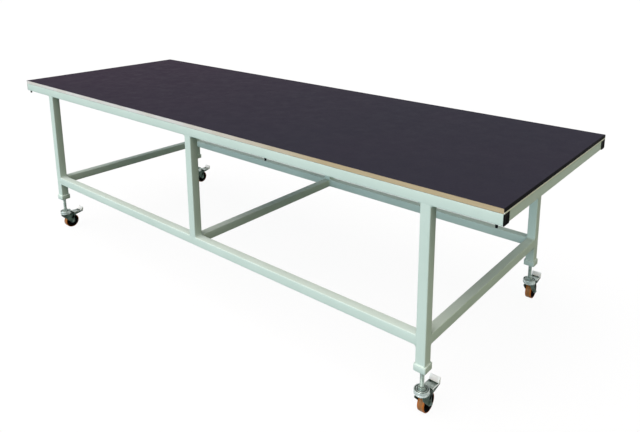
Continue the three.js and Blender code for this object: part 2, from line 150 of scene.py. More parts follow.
def start_group(name, inputs, outputs):
    """An empty node group with named inputs and outputs."""
    group = bpy.data.node_groups.new(name, "ShaderNodeTree")
    for socket, kind in inputs.items():
        group.interface.new_socket(socket, in_out="INPUT", socket_type=kind)
    for socket, kind in outputs.items():
        group.interface.new_socket(socket, in_out="OUTPUT", socket_type=kind)
    source = group.nodes.new("NodeGroupInput").outputs
    sink = group.nodes.new("NodeGroupOutput").inputs
    return group, source, sink


def place_group(tree, group, **inputs):
    """A node group placed in a material with its own values."""
    return add_node(tree, "ShaderNodeGroup", {"node_tree": group}, **inputs).outputs


def start_material(name):
    """A new material: its node tree, its shader's inputs, and places on the piece in metres."""
    material = bpy.data.materials.new(name)
    material.use_nodes = True
    tree = material.node_tree
    shader = tree.nodes["Principled BSDF"].inputs
    place = add_node(tree, "ShaderNodeTexCoord").outputs
    return material, tree, shader, place


# Blotches: soft cloudy patches, as in handled or rolled-on finishes.
blotches, blotch_in, blotch_out = start_group(
    "blotches",
    {"Place": VECTOR, "Scale": NUMBER, "Low": NUMBER, "High": NUMBER},
    {"Factor": NUMBER},
)
cloud = add_node(blotches, "ShaderNodeTexNoise", Vector=blotch_in["Place"], Scale=blotch_in["Scale"],
                 Detail=4.0, Roughness=0.6)
cloudiness = remap(blotches, cloud.outputs["Fac"], NOISE_MIDDLE, (blotch_in["Low"], blotch_in["High"]))
feed(blotches, blotch_out["Factor"], cloudiness)

# Fine grain: the tiny relief of a moulded, coated or rolled surface.
fine_grain, grain_in, grain_out = start_group(
    "fine_grain",
    {"Place": VECTOR, "Scale": NUMBER, "Depth": NUMBER, "Normal": VECTOR},
    {"Normal": VECTOR},
)
pores = add_node(fine_grain, "ShaderNodeTexNoise", Vector=grain_in["Place"], Scale=grain_in["Scale"],
                 Detail=2.0)
relief = add_node(fine_grain, "ShaderNodeBump", Strength=1.0, Distance=grain_in["Depth"],
                  Height=pores.outputs["Fac"], Normal=grain_in["Normal"])
feed(fine_grain, grain_out["Normal"], relief.outputs["Normal"])

# Worn and highlit edges: rounds sharp corners in the light, and marks them for rubbing and for a painted
# highlight along the edge.
worn_and_highlit_edges, edge_in, edge_out = start_group(
    "worn_and_highlit_edges",
    {"Radius": NUMBER},
    {"Mask": NUMBER, "Normal": VECTOR},
)
rounded = add_node(worn_and_highlit_edges, "ShaderNodeBevel", {"samples": 6}, Radius=edge_in["Radius"]).outputs["Normal"]
facing = add_node(worn_and_highlit_edges, "ShaderNodeNewGeometry").outputs["Normal"]
sharpness = remap(worn_and_highlit_edges, agreement(worn_and_highlit_edges, rounded, facing), EDGE_AGREEMENT)
feed(worn_and_highlit_edges, edge_out["Mask"], sharpness)
feed(worn_and_highlit_edges, edge_out["Normal"], rounded)


def patchy(tree, place, patches):
    """A value that drifts in cloudy patches, given by their scale and its lowest and highest."""
    scale, low, high = patches
    return place_group(tree, blotches, Place=place["Object"], Scale=scale, Low=low, High=high)["Factor"]


def grained(tree, place, grain, normal=None):
    """The normal of a surface with a grain of some scale and depth, on a given normal or its own."""
    scale, depth = grain
    if normal is None:
        normal = add_node(tree, "ShaderNodeNewGeometry").outputs["Normal"]
    relief = place_group(tree, fine_grain, Place=place["Object"], Scale=scale, Depth=depth, Normal=normal)
    return relief["Normal"]


def film_faced_plywood():
    """Dark film on the faces, palest at the left, and plies on the sawn edges, paler towards the left."""
    material, tree, shader, place = start_material("film_faced_plywood")
    spot = split(tree, place["Object"])
    levelness = calculate(tree, "ABSOLUTE", split(tree, place["Normal"])["Z"])
    is_edge = calculate(tree, "LESS_THAN", levelness, EDGE_STEEPNESS)

    paler_left = remap(tree, spot["X"], PALER_LEFT_RUN, PALER_LEFT_SHARES)
    paler_left = calculate(tree, "ADD", patchy(tree, place, FILM_CLOUDS), paler_left)
    film = blend_colours(tree, paler_left, FILM, FILM_PALE)
    film = blend_colours(tree, 1.0, film, patchy(tree, place, FILM_SPECKS), "MULTIPLY")

    layer = calculate(tree, "PINGPONG", calculate(tree, "DIVIDE", spot["Z"], PLY_THICKNESS), 1.0)
    plies = blend_colours(tree, remap(tree, layer, PLY_CROSSING), PLY_FACE, PLY_END_GRAIN)
    along = add_node(tree, "ShaderNodeMapping", Vector=place["Object"], Scale=FIBRE_SCALE)
    fibres = add_node(tree, "ShaderNodeTexNoise", Vector=along.outputs["Vector"], Scale=1.0, Detail=5.0)
    pale_fibres = remap(tree, fibres.outputs["Fac"], FIBRE_RANGE, FIBRE_SHARES)
    plies = blend_colours(tree, pale_fibres, plies, PLY_FACE)
    paling = remap(tree, spot["X"], PALE_END_RUN, PALE_END_SHARES)
    paling = calculate(tree, "MULTIPLY", patchy(tree, place, PLY_PATCHES), paling)
    plies = blend_colours(tree, paling, plies, PLY_PALE_END)

    feed(tree, shader["Base Color"], blend_colours(tree, is_edge, film, plies))
    sawn = calculate(tree, "MULTIPLY", is_edge, PLY_ROUGHNESS)
    feed(tree, shader["Roughness"], calculate(tree, "MAXIMUM", patchy(tree, place, FILM_GLOSS), sawn))
    feed(tree, shader["Normal"], grained(tree, place, FILM_GRAIN))
    shader["Specular IOR Level"].default_value = FILM_SHEEN
    return material


def dress(node, material):
    """A finish on a solid of the frame."""
    slots = frame["nodes"][node].data.materials
    slots.clear()
    slots.append(material)


dress("top_board", film_faced_plywood())

# Edge bands
# Black plastic banding, glued to the board's two short ends and trimmed flush with its upper face. A pale
# line painted along its foot is a painted highlight, and its edges are lightened partly as wear and partly as
# a painted highlight.
BLACK = (0.006, 0.006, 0.007, 1)
# The rubbed black below serves for scuffs and, at the edges, partly as a painted highlight.
BLACK_SCUFFED_AND_HIGHLIT = (0.013, 0.013, 0.015, 1)
BLACK_SHEEN = 0.004
BLACK_SCUFFS = (60.0, 0.0, 0.5)
BLACK_EDGE = 0.0008
BLACK_EDGE_RUBBING_AND_HIGHLIGHT = 0.7
BAND_GLOSS = (35.0, 0.38, 0.55)
BAND_GRAIN = (900.0, 0.0001)
# The pale line below is a painted highlight along the foot of the banding.
PAINTED_HIGHLIGHT_LINE = (0.82, 0.82, 0.73, 1)
PAINTED_HIGHLIGHT_LINE_HEIGHT = 0.0056
ends = {"left": -1, "right": 1}


def lay_finish(tree, shader, place, colour, gloss, grain, normal=None):
    """Feeds a shader a colour, a roughness in patches and a fine grain."""
    feed(tree, shader["Base Color"], colour)
    feed(tree, shader["Roughness"], patchy(tree, place, gloss))
    feed(tree, shader["Normal"], grained(tree, place, grain, normal))


def black_plastic(name, gloss, grain, highlight_below=None):
    """Black, scuffed in patches, lightened at its edges as wear and as a painted highlight; below a given
    height a pale line is painted as a highlight.
    """
    material, tree, shader, place = start_material(name)
    edges = place_group(tree, worn_and_highlit_edges, Radius=BLACK_EDGE)
    rubbed_and_highlit = calculate(tree, "MULTIPLY", edges["Mask"], BLACK_EDGE_RUBBING_AND_HIGHLIGHT)
    rubbed_and_highlit = calculate(tree, "MAXIMUM", rubbed_and_highlit, patchy(tree, place, BLACK_SCUFFS))
    colour = blend_colours(tree, rubbed_and_highlit, BLACK, BLACK_SCUFFED_AND_HIGHLIT)
    if highlight_below is not None:
        is_painted_highlight = calculate(tree, "LESS_THAN", split(tree, place["Object"])["Z"], highlight_below)
        colour = blend_colours(tree, is_painted_highlight, colour, PAINTED_HIGHLIGHT_LINE)
    lay_finish(tree, shader, place, colour, gloss, grain, edges["Normal"])
    shader["Specular IOR Level"].default_value = BLACK_SHEEN
    return material


band_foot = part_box("left_edge_band")[0].z
banding = black_plastic("black_banding", BAND_GLOSS, BAND_GRAIN, band_foot + PAINTED_HIGHLIGHT_LINE_HEIGHT)
for end in ends:
    dress(f"{end}_edge_band", banding)

# Welded frame
# Square steel tube, sawn to length and welded: two long top rails, rails across them, legs set in from
# the ends, middle posts, and a ring of lower rails. Shot-blasted and powder coated in a pale grey green.
COAT = (0.568, 0.665, 0.605, 1)
COAT_SHADE = (0.529, 0.627, 0.567, 1)
# The pale edge colour below is a painted highlight along the tube edges.
COAT_EDGE_HIGHLIGHT = (0.70, 0.79, 0.74, 1)
COAT_SHEEN = 0.04
COAT_CLOUDS = (7.0, 0.0, 1.0)
COAT_GLOSS = (30.0, 0.36, 0.5)
COAT_PEEL = (330.0, 0.00015)
COAT_EDGE_HIGHLIGHT_SHARE = 0.55
TUBE_EDGE = 0.0018
TUBE_WALL = 0.002
TUBE_CORNER = 0.0035
TUBE_CORNER_STEPS = 5
ROOT_GAP = 0.0002
SAME_POINT = 0.000001
SHARP_DEGREES = 38
X = Vector((1, 0, 0))
Y = Vector((0, 1, 0))
Z = Vector((0, 0, 1))
ALONG_X = Matrix.Rotation(math.pi / 2, 4, "Y")
ALONG_Y = Matrix.Rotation(-math.pi / 2, 4, "X")
ALONG_AXIS = (ALONG_X, ALONG_Y, Matrix.Identity(4))
leg_low, leg_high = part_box("front_left_leg")
TUBE_HALF = (leg_high.x - leg_low.x) / 2


def powder_coat(name, edge_radius):
    """Powder coat with faint clouds and orange peel, and a pale colour along the edges as a painted
    highlight.
    """
    material, tree, shader, place = start_material(name)
    edges = place_group(tree, worn_and_highlit_edges, Radius=edge_radius)
    paint = blend_colours(tree, patchy(tree, place, COAT_CLOUDS), COAT, COAT_SHADE)
    edge_highlight = calculate(tree, "MULTIPLY", edges["Mask"], COAT_EDGE_HIGHLIGHT_SHARE)
    paint = blend_colours(tree, edge_highlight, paint, COAT_EDGE_HIGHLIGHT)
    lay_finish(tree, shader, place, paint, COAT_GLOSS, COAT_PEEL, edges["Normal"])
    shader["Specular IOR Level"].default_value = COAT_SHEEN
    return material


def on_circle(radius, angle, a=0, b=0):
    """A point on a circle round a and b, as a pair."""
    return a + radius * math.cos(angle), b + radius * math.sin(angle)


def rounded_square(half, radius):
    """Points round a square with rounded corners, as pairs; a radius of a full half is a circle."""
    inner = half - radius
    points = []
    for quarter, (a, b) in enumerate(((1, 1), (-1, 1), (-1, -1), (1, -1))):
        for i in range(TUBE_CORNER_STEPS + 1):
            angle = math.pi / 2 * (quarter + i / TUBE_CORNER_STEPS)
            points.append(on_circle(radius, angle, a * inner, b * inner))
    return points


def skin(shape, low, high):
    """Faces all the way round between two rings of points."""
    for i in range(len(low)):
        j = (i + 1) % len(low)
        shape.faces.new(dict.fromkeys((low[i], low[j], high[j], high[i])))


def merge_points(shape):
    """Makes points that coincide into one."""
    bmesh.ops.remove_doubles(shape, verts=shape.verts, dist=SAME_POINT)
    return shape


def stack(sections, closed=False):
    """A bmesh skinned up Z through square sections of half side, corner radius and height."""
    shape = bmesh.new()
    rings = [[shape.verts.new((a, b, height)) for a, b in rounded_square(half, radius)]
             for half, radius, height in sections]
    if not closed:
        shape.faces.new(rings[0])
        shape.faces.new(rings[-1])
    for low, high in zip(rings, rings[1:]):
        skin(shape, low, high)
    if closed:
        skin(shape, rings[-1], rings[0])
    return merge_points(shape)


def mesh_from(name, shape):
    """A mesh from a bmesh, with its faces turned out."""
    bmesh.ops.recalc_face_normals(shape, faces=shape.faces)
    mesh = bpy.data.meshes.new(name)
    shape.to_mesh(mesh)
    shape.free()
    return mesh


def add_piece(name, mesh, place, material, body, replaced=None, sharp_degrees=SHARP_DEGREES):
    """A mesh set at a place, finished and riding a body; it may stand for a solid of the frame."""
    mesh = mesh.copy()
    mesh.transform(place)
    mesh.materials.append(material)
    mesh.shade_smooth()
    mesh.set_sharp_from_angle(angle=math.radians(sharp_degrees))
    piece = bpy.data.objects.new(name, mesh)
    bpy.context.scene.collection.objects.link(piece)
    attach(piece, body)
    if replaced:
        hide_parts(replaced)


coat = powder_coat("powder_coat", TUBE_EDGE)
sides = {"front": -1, "rear": 1}
corners = {f"{side}_{end}": (sides[side], ends[end]) for side in sides for end in ends}
long_top_rails = [f"{side}_top_rail" for side in sides]
tubes = [f"{side}_{part}" for side in sides for part in ("top_rail", "lower_rail", "middle_post")]
tubes += [f"{end}_{part}" for end in ends for part in ("end_rail", "lower_bar")]
tubes += ["middle_top_rail", "middle_lower_bar"]
tubes += [f"{corner}_leg" for corner in corners]
outside = (TUBE_HALF, TUBE_CORNER)
bore = (TUBE_HALF - TUBE_WALL, TUBE_CORNER - TUBE_WALL)
for tube in tubes:
    low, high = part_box(tube)
    size = high - low
    axis = max(range(3), key=lambda i: size[i])
    half = size[axis] / 2 + (0 if tube in long_top_rails else ROOT_GAP)
    shape = stack([(*outside, -half), (*outside, half), (*bore, half), (*bore, -half)], closed=True)
    place = Matrix.Translation((low + high) / 2) @ ALONG_AXIS[axis]
    add_piece(f"{tube}_tube", mesh_from("tube", shape), place, coat, "frame", tube)

# Weld beads
# Weld metal at the tube joints: rippled fillets in the inner corners, and seams ground flush where two
# faces run on. They are coated with the frame.
BEAD_LEG = 0.0085
RIM_BEAD_LEG = 0.0025
BEAD_RIPPLE = 0.0045
BEAD_RIPPLE_RISE = 0.1
BEAD_STEP = 0.0015
BEAD_CURVE = 4
BEAD_TAPER = 0.0015
BEAD_TIP = 0.0002
BEAD_INSET = 0.0010
BEAD_FULLNESS = 0.8
BEAD_EDGE = 0.0002
BEAD_SHARP_DEGREES = 60
beads = bmesh.new()


def lay_rows(rows):
    """Skins rows of points, each going once round the bead, into a closed bead."""
    made = [[beads.verts.new(point) for point in row] for row in rows]
    for low, high in zip(made, made[1:]):
        skin(beads, low, high)
    beads.faces.new(made[0])
    beads.faces.new(made[-1])


def lay_fillet(start, finish, up_first, up_second, full_leg=BEAD_LEG):
    """A rippled fillet along the inner corner of two faces, given by the ways that they face."""
    start, finish = Vector(start), Vector(finish)
    length = (finish - start).length
    count = round(length / BEAD_STEP)
    rows = []
    for i in range(count + 1):
        reach = length * i / count
        taper = min(1.0, max(min(reach, length - reach), BEAD_TIP) / BEAD_TAPER)
        ripple = 1 + BEAD_RIPPLE_RISE * abs(math.sin(math.pi * reach / BEAD_RIPPLE))
        leg = full_leg * math.sqrt(taper) * ripple
        foot = start.lerp(finish, i / count)
        row = [foot]
        for j in range(BEAD_CURVE + 1):
            share = j / BEAD_CURVE
            angle = math.pi / 2 * share
            away = 1 - BEAD_FULLNESS * math.sin(angle) - (1 - BEAD_FULLNESS) * share
            rise = 1 - BEAD_FULLNESS * math.cos(angle) - (1 - BEAD_FULLNESS) * (1 - share)
            row.append(foot + (Vector(up_second) * away + Vector(up_first) * rise) * leg)
        rows.append(row)
    lay_rows(rows)


def lay_flush(start, finish, out_first, out_second):
    """A ground seam that squares off a tube's rounded corner, given by the ways its two faces face."""
    start, finish = Vector(start), Vector(finish)
    along = (finish - start).normalized() * TUBE_CORNER
    sink = (out_first + out_second) * TUBE_CORNER * (1 - math.sqrt(0.5))
    rows = []
    for foot, sunk in ((start, sink), (start + along, sink * 0), (finish - along, sink * 0), (finish, sink)):
        rows.append([foot - out_first * TUBE_CORNER, foot - sunk, foot - out_second * TUBE_CORNER])
    lay_rows(rows)


def towards(low, high, way):
    """The corner of a box that lies a given way."""
    return high if way > 0 else low


def weld_upright(low, high, height, up, seam_faces=(-1, 1)):
    """An upright's end on a rail: fillets at both sides, and seams over the rail's rounded corners."""
    for face in (-1, 1):
        x = towards(low, high, face).x
        lay_fillet((x, low.y + BEAD_INSET, height), (x, high.y - BEAD_INSET, height), up, X * face)
    for face in seam_faces:
        y = towards(low, high, face).y
        lay_flush((low.x, y, height), (high.x, y, height), Y * face, up)


def weld_bar_end(low, high, y, inward):
    """A level bar's end on a long rail: upright fillets at its sides, and seams above and below."""
    for face in (-1, 1):
        x = towards(low, high, face).x
        z = towards(low, high, face).z
        if abs(x) < cad_high.x - TUBE_HALF:
            lay_fillet((x, y, low.z + BEAD_INSET), (x, y, high.z - BEAD_INSET), Y * inward, X * face)
        lay_flush((low.x, y, z), (high.x, y, z), Y * inward, Z * face)


top_rail_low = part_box("front_top_rail")[0].z
lower_rail_low, lower_rail_high = (level.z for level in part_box("front_lower_rail"))
for corner, (side_way, end_way) in corners.items():
    low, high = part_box(f"{corner}_leg")
    weld_upright(low, high, top_rail_low, -Z)
    inner_x = towards(low, high, -end_way).x
    outer_x = towards(low, high, end_way).x
    inner_y = towards(low, high, -side_way).y
    outer_y = towards(low, high, side_way).y
    for z, up in ((lower_rail_low, -Z), (lower_rail_high, Z)):
        lay_fillet((inner_x, low.y + BEAD_INSET, z), (inner_x, high.y - BEAD_INSET, z), X * -end_way, up)
        lay_fillet((low.x + BEAD_INSET, inner_y, z), (high.x - BEAD_INSET, inner_y, z), Y * -side_way, up)
    for x, y, way in ((inner_x, outer_y, 1), (outer_x, inner_y, -1)):
        lay_flush((x, y, lower_rail_low), (x, y, lower_rail_high), X * -end_way * way, Y * side_way * way)
    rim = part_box(f"{corner}_foot_collar")[1].z
    for face in (-1, 1):
        x = towards(low, high, face).x
        y = towards(low, high, face).y
        lay_fillet((x, low.y + TUBE_CORNER, rim), (x, high.y - TUBE_CORNER, rim), Z, X * face, RIM_BEAD_LEG)
        lay_fillet((low.x + TUBE_CORNER, y, rim), (high.x - TUBE_CORNER, y, rim), Z, Y * face, RIM_BEAD_LEG)
for side, side_way in sides.items():
    low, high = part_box(f"{side}_middle_post")
    weld_upright(low, high, top_rail_low, -Z, [side_way])
    weld_upright(low, high, lower_rail_high, Z, [side_way])
for bar in ("middle_lower_bar", "middle_top_rail", "left_end_rail", "right_end_rail"):
    low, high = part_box(bar)
    weld_bar_end(low, high, low.y - ROOT_GAP, 1)
    weld_bar_end(low, high, high.y + ROOT_GAP, -1)
bead_coat = powder_coat("bead_coat", BEAD_EDGE)
add_piece("weld_beads", mesh_from("weld_beads", beads), Matrix.Identity(4), bead_coat, "frame",
          sharp_degrees=BEAD_SHARP_DEGREES)

# Rail end caps
# Caps moulded in black plastic. A tapered plug is pushed into the open end of a long top rail, and a
# flange with a shallow dish covers the tube's sawn end.
CAP_GLOSS = (35.0, 0.33, 0.5)
CAP_GRAIN = (1300.0, 0.0001)
CAP_FLANGE = 0.003
CAP_EASING = 0.0009
CAP_DISH = 0.0005
CAP_DISH_SLOPE = 0.001
CAP_RIM = 0.006
PLUG_LENGTH = 0.018
PLUG_TAPER = 0.004
PLUG_NARROWING = 0.002
PLUG_CORNER = 0.0012
PLUG_TIP_CORNER = 0.0006
FIT_GAP = 0.0003
EASED_MIDDLE = 0.3
PLUG_HALF = TUBE_HALF - TUBE_WALL - FIT_GAP


def eased_rim(half, corner, rim, easing, way=1):
    """Three sections that round a rim's outer edge, from its side to its end; way is up or down."""
    return [(half - inward * easing, corner, rim - way * short * easing)
            for inward, short in ((0, 1), (EASED_MIDDLE, EASED_MIDDLE), (1, 0))]


cap_plastic = black_plastic("cap_plastic", CAP_GLOSS, CAP_GRAIN)
cap_mesh = mesh_from("end_cap", stack([
    (PLUG_HALF - PLUG_NARROWING, PLUG_TIP_CORNER, -PLUG_LENGTH),
    (PLUG_HALF, PLUG_CORNER, PLUG_TAPER - PLUG_LENGTH),
    (PLUG_HALF, PLUG_CORNER, 0),
    (TUBE_HALF, TUBE_CORNER, 0),
    *eased_rim(TUBE_HALF, TUBE_CORNER, CAP_FLANGE, CAP_EASING),
    (TUBE_HALF - CAP_RIM, TUBE_CORNER, CAP_FLANGE),
    (TUBE_HALF - CAP_RIM - CAP_DISH_SLOPE, TUBE_CORNER, CAP_FLANGE - CAP_DISH),
]))
for corner, (side_way, end_way) in corners.items():
    low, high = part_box(f"{corner}_end_cap")
    seat = (low + high) / 2
    seat.x = towards(low, high, end_way).x - end_way * CAP_FLANGE
    place = Matrix.Translation(seat) @ Matrix.Rotation(end_way * math.pi / 2, 4, "Y")
    add_piece(f"{corner}_rail_cap", cap_mesh, place, cap_plastic, "frame", f"{corner}_end_cap")

# Board screws
# Steel cap-head screws with a driving socket, blackened in oil. They pass up through the long top rails
# into the board, three to a rail, and their heads stand below the tube.
SCREW_GLOSS = (35.0, 0.23, 0.4)
SCREW_GRAIN = (1500.0, 0.0001)
SCREW_RADIUS = 0.0044
SCREW_HEIGHT = 0.0120
SCREW_EASING = 0.0008
SCREW_SOCKET = 0.0023
SCREW_SOCKET_DEPTH = 0.004
SCREW_SOCKET_CONE = 0.001
SCREW_PLACES = (-1.474, 0.487, 1.474)
SCREW_INSET = 0.0080
SCREW_FACETS = 24


def spin(profile, facets):
    """A bmesh turned round Z from pairs of radius and height; a closed profile repeats its first pair."""
    shape = bmesh.new()
    turns = [2 * math.pi * i / facets for i in range(facets)]
    rings = []
    for number, (radius, height) in enumerate(profile):
        if radius == 0:
            rings.append([shape.verts.new((0, 0, height))] * facets)
        elif number and number == len(profile) - 1 and profile[0] == profile[-1]:
            rings.append(rings[0])
        else:
            rings.append([shape.verts.new((*on_circle(radius, angle), height)) for angle in turns])
    for low, high in zip(rings, rings[1:]):
        skin(shape, low, high)
    return shape


screw_black = black_plastic("blackened_screw", SCREW_GLOSS, SCREW_GRAIN)
screw_mesh = mesh_from("board_screw", spin([
    (0, 0),
    (SCREW_RADIUS, 0),
    (SCREW_RADIUS, SCREW_EASING - SCREW_HEIGHT),
    (SCREW_RADIUS - EASED_MIDDLE * SCREW_EASING, EASED_MIDDLE * SCREW_EASING - SCREW_HEIGHT),
    (SCREW_RADIUS - SCREW_EASING, -SCREW_HEIGHT),
    (SCREW_SOCKET, -SCREW_HEIGHT),
    (SCREW_SOCKET, SCREW_SOCKET_DEPTH - SCREW_HEIGHT),
    (0, SCREW_SOCKET_DEPTH + SCREW_SOCKET_CONE - SCREW_HEIGHT),
], SCREW_FACETS))
for side, side_way in sides.items():
    low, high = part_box(f"{side}_top_rail")
    y = towards(low, high, side_way).y - side_way * SCREW_INSET
    for number, x in enumerate(SCREW_PLACES, 1):
        place = Matrix.Translation((x, y, low.z))
        add_piece(f"{side}_board_screw_{number}", screw_mesh, place, screw_black, "frame")

# Foot collars
# Square steel cups, slipped over the feet of the legs, welded round the rim and coated with the frame.
# The floor of each is bored and threaded for the caster's stem.
COLLAR_FLOOR = 0.010
COLLAR_CORNER = 0.005
COLLAR_EASING = 0.0015
COLLAR_POCKET = TUBE_HALF + FIT_GAP
STEM_BORE = 0.0083
collar_low, collar_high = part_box("front_left_foot_collar")
collar_half = (collar_high.x - collar_low.x) / 2
collar_height = collar_high.z - collar_low.z
collar_mesh = mesh_from("foot_collar", stack([
    (STEM_BORE, STEM_BORE, 0),
    *reversed(eased_rim(collar_half, COLLAR_CORNER, 0, COLLAR_EASING, -1)),
    *eased_rim(collar_half, COLLAR_CORNER, collar_height, COLLAR_EASING),
    (COLLAR_POCKET, TUBE_CORNER, collar_height),
    (COLLAR_POCKET, TUBE_CORNER, COLLAR_FLOOR),
    (STEM_BORE, STEM_BORE, COLLAR_FLOOR),
], closed=True))
for corner in corners:
    low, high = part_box(f"{corner}_foot_collar")
    foot = (low + high) / 2
    foot.z = low.z
    add_piece(f"{corner}_collar", collar_mesh, Matrix.Translation(foot), coat, "frame",
              f"{corner}_foot_collar")

# Caster stems
# Turned and threaded studs with a spanner hexagon, plated in bright zinc. The lower end is the king pin
# that the fork turns on, and the thread screws into the collar to level the table.
TURNED_ZINC = (0.54, 0.64, 0.58, 1)
TURNED_ZINC_DULL = (0.19, 0.26, 0.225, 1)
TURNED_GLOSS = (140.0, 0.28, 0.46)
TURNED_EDGE = 0.0003
# The near-white rubbed colour below is partly wear and partly a painted highlight on edges and bends.
ZINC_RUBBED_AND_HIGHLIT = (0.92, 0.95, 0.94, 1)
ZINC_CLOUDS = (48.0, 0.0, 1.0)
ZINC_GRAIN = (700.0, 0.00006)
ZINC_EDGE_RUBBING_AND_HIGHLIGHT = 0.5
ZINC_METALLIC = 0.5
ZINC_SPECULAR = 0.5
# The near-black below darkens hollows: partly grease, partly painted shade.
GREASE_AND_SHADE = (0.020, 0.028, 0.024, 1)
GREASE_AND_SHADE_REACH = 0.012
GREASE_AND_SHADE_OPENNESS = (0.75, 0.25)
THREAD_RADIUS = 0.008
THREAD_PITCH = 0.002
THREAD_DEPTH = 0.0010
THREAD_STEPS = 18
THREAD_RIDGE = ((-THREAD_DEPTH, 0.0), (0.0, 0.36), (0.0, 0.56))
THREAD_START = 0.0005
THREAD_RUNOUT = 0.004
HEX_FLATS = 0.024
HEX_HEIGHT = 0.008
HEX_CHAMFER = 0.0008
KING_PIN_RADIUS = 0.006
RIVET_RADIUS = 0.010
RIVET_HEIGHT = 0.003
STEM_CHAMFER = 0.0015
STEM_OVERLAP = 0.001
TURNED_FACETS = 32

# Greasy and shaded recesses: darkens the corners and hollows by how closed in they are, for grease and dust
# and as painted shade.
greasy_and_shaded_recesses, recess_in, recess_out = start_group("greasy_and_shaded_recesses", {"Reach": NUMBER}, {"Mask": NUMBER})
openness = add_node(greasy_and_shaded_recesses, "ShaderNodeAmbientOcclusion", {"samples": 8, "only_local": True},
                    Distance=recess_in["Reach"])
hollow = remap(greasy_and_shaded_recesses, openness.outputs["AO"], GREASE_AND_SHADE_OPENNESS)
feed(greasy_and_shaded_recesses, recess_out["Mask"], hollow)


def zinc_plate(name, bright, dull, gloss, edge_radius, glance=1.0, wear_and_light=None):
    """Cloudy zinc, lightened at its edges as wear and as a painted highlight, darkened in its hollows as
    grease and as painted shade; a further function may lay wear and painted light on its colour.
    """
    material, tree, shader, place = start_material(name)
    edges = place_group(tree, worn_and_highlit_edges, Radius=edge_radius)
    zinc = blend_colours(tree, patchy(tree, place, ZINC_CLOUDS), bright, dull)
    rubbed_and_highlit = calculate(tree, "MULTIPLY", edges["Mask"], ZINC_EDGE_RUBBING_AND_HIGHLIGHT)
    zinc = blend_colours(tree, rubbed_and_highlit, zinc, ZINC_RUBBED_AND_HIGHLIT)
    if wear_and_light:
        zinc = wear_and_light(tree, place, zinc)
    # Hollows are darkened as grease and as painted shade.
    greasy_and_shaded = place_group(tree, greasy_and_shaded_recesses, Reach=GREASE_AND_SHADE_REACH)["Mask"]
    zinc = blend_colours(tree, greasy_and_shaded, zinc, GREASE_AND_SHADE)
    lay_finish(tree, shader, place, zinc, gloss, ZINC_GRAIN, edges["Normal"])
    shader["Metallic"].default_value = ZINC_METALLIC
    shader["Specular Tint"].default_value = (glance, glance, glance, 1)
    shader["Specular IOR Level"].default_value = ZINC_SPECULAR * glance
    return material


def hexagon_head(low, high):
    """A spanner hexagon's profile, chamfered at both rims."""
    tip = HEX_FLATS / math.sqrt(3)
    return [(0, low), (tip - HEX_CHAMFER, low), (tip, low + HEX_CHAMFER),
            (tip, high - HEX_CHAMFER), (tip - HEX_CHAMFER, high), (0, high)]


def join_shapes(shapes):
    """Several bmeshes as one."""
    whole = bmesh.new()
    for shape in shapes:
        part = bpy.data.meshes.new("part")
        shape.to_mesh(part)
        shape.free()
        whole.from_mesh(part)
        bpy.data.meshes.remove(part)
    return whole


def stem_thread(low, high):
    """A helical ridge run round the stem, closed across both ends."""
    shape = bmesh.new()
    rows = []
    for i in range(int((high - low) / THREAD_PITCH * THREAD_STEPS)):
        turns = i / THREAD_STEPS
        row = []
        for rise, share in THREAD_RIDGE:
            spot = on_circle(THREAD_RADIUS + rise, 2 * math.pi * turns)
            row.append(shape.verts.new((*spot, low + (turns + share) * THREAD_PITCH)))
        rows.append(row)
    for i, (row, following) in enumerate(zip(rows, rows[1:])):
        for j in range(len(row) - 1):
            shape.faces.new((row[j], following[j], following[j + 1], row[j + 1]))
        if i + 1 + THREAD_STEPS < len(rows):
            turn, turn_following = rows[i + THREAD_STEPS], rows[i + 1 + THREAD_STEPS]
            shape.faces.new((row[-1], following[-1], turn_following[0], turn[0]))
    shape.faces.new([row[0] for row in rows[:THREAD_STEPS + 1]] + rows[0][:0:-1])
    shape.faces.new([row[-1] for row in rows[-THREAD_STEPS - 1:]] + rows[-1][-2::-1])
    return shape


def add_to_casters(piece, mesh, places, material, body, node=None):
    """The same piece on each of the four casters; it may stand for a solid of each."""
    for corner, place in places.items():
        replaced = f"{corner}_{node}" if node else None
        add_piece(f"{corner}_{piece}", mesh, place, material, f"{corner}_{body}", replaced)


joint_place = {joint["name"]: joint.get("pos_m") for joint in frame["joints"]}
stem_axis = {}
for corner in corners:
    stem_axis[corner] = Matrix.Translation((*joint_place[f"{corner}_swivel"][:2], 0))
stem_foot, stem_top = (level.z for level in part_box("front_left_stem"))
hex_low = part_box("front_left_bearing_cap")[1].z + FIT_GAP
hex_high = hex_low + HEX_HEIGHT
thread_root = THREAD_RADIUS - THREAD_DEPTH
king_pin = [
    (0, stem_foot),
    (RIVET_RADIUS - STEM_CHAMFER, stem_foot),
    (RIVET_RADIUS, stem_foot + STEM_CHAMFER),
    (RIVET_RADIUS, stem_foot + RIVET_HEIGHT),
    (KING_PIN_RADIUS, stem_foot + RIVET_HEIGHT),
    (KING_PIN_RADIUS, hex_low + STEM_OVERLAP),
    (0, hex_low + STEM_OVERLAP),
]
shank = [
    (0, hex_high - STEM_OVERLAP),
    (thread_root, hex_high - STEM_OVERLAP),
    (thread_root, stem_top - STEM_CHAMFER),
    (thread_root - STEM_CHAMFER, stem_top),
    (0, stem_top),
]
stem_mesh = mesh_from("threaded_stem", join_shapes([
    spin(king_pin, TURNED_FACETS),
    spin(hexagon_head(hex_low, hex_high), 6),
    spin(shank, TURNED_FACETS),
    stem_thread(hex_high - THREAD_START, stem_top - THREAD_RUNOUT),
]))
turned_zinc = zinc_plate("turned_zinc", TURNED_ZINC, TURNED_ZINC_DULL, TURNED_GLOSS, TURNED_EDGE)
add_to_casters("threaded_stem", stem_mesh, stem_axis, turned_zinc, "stud", "stem")

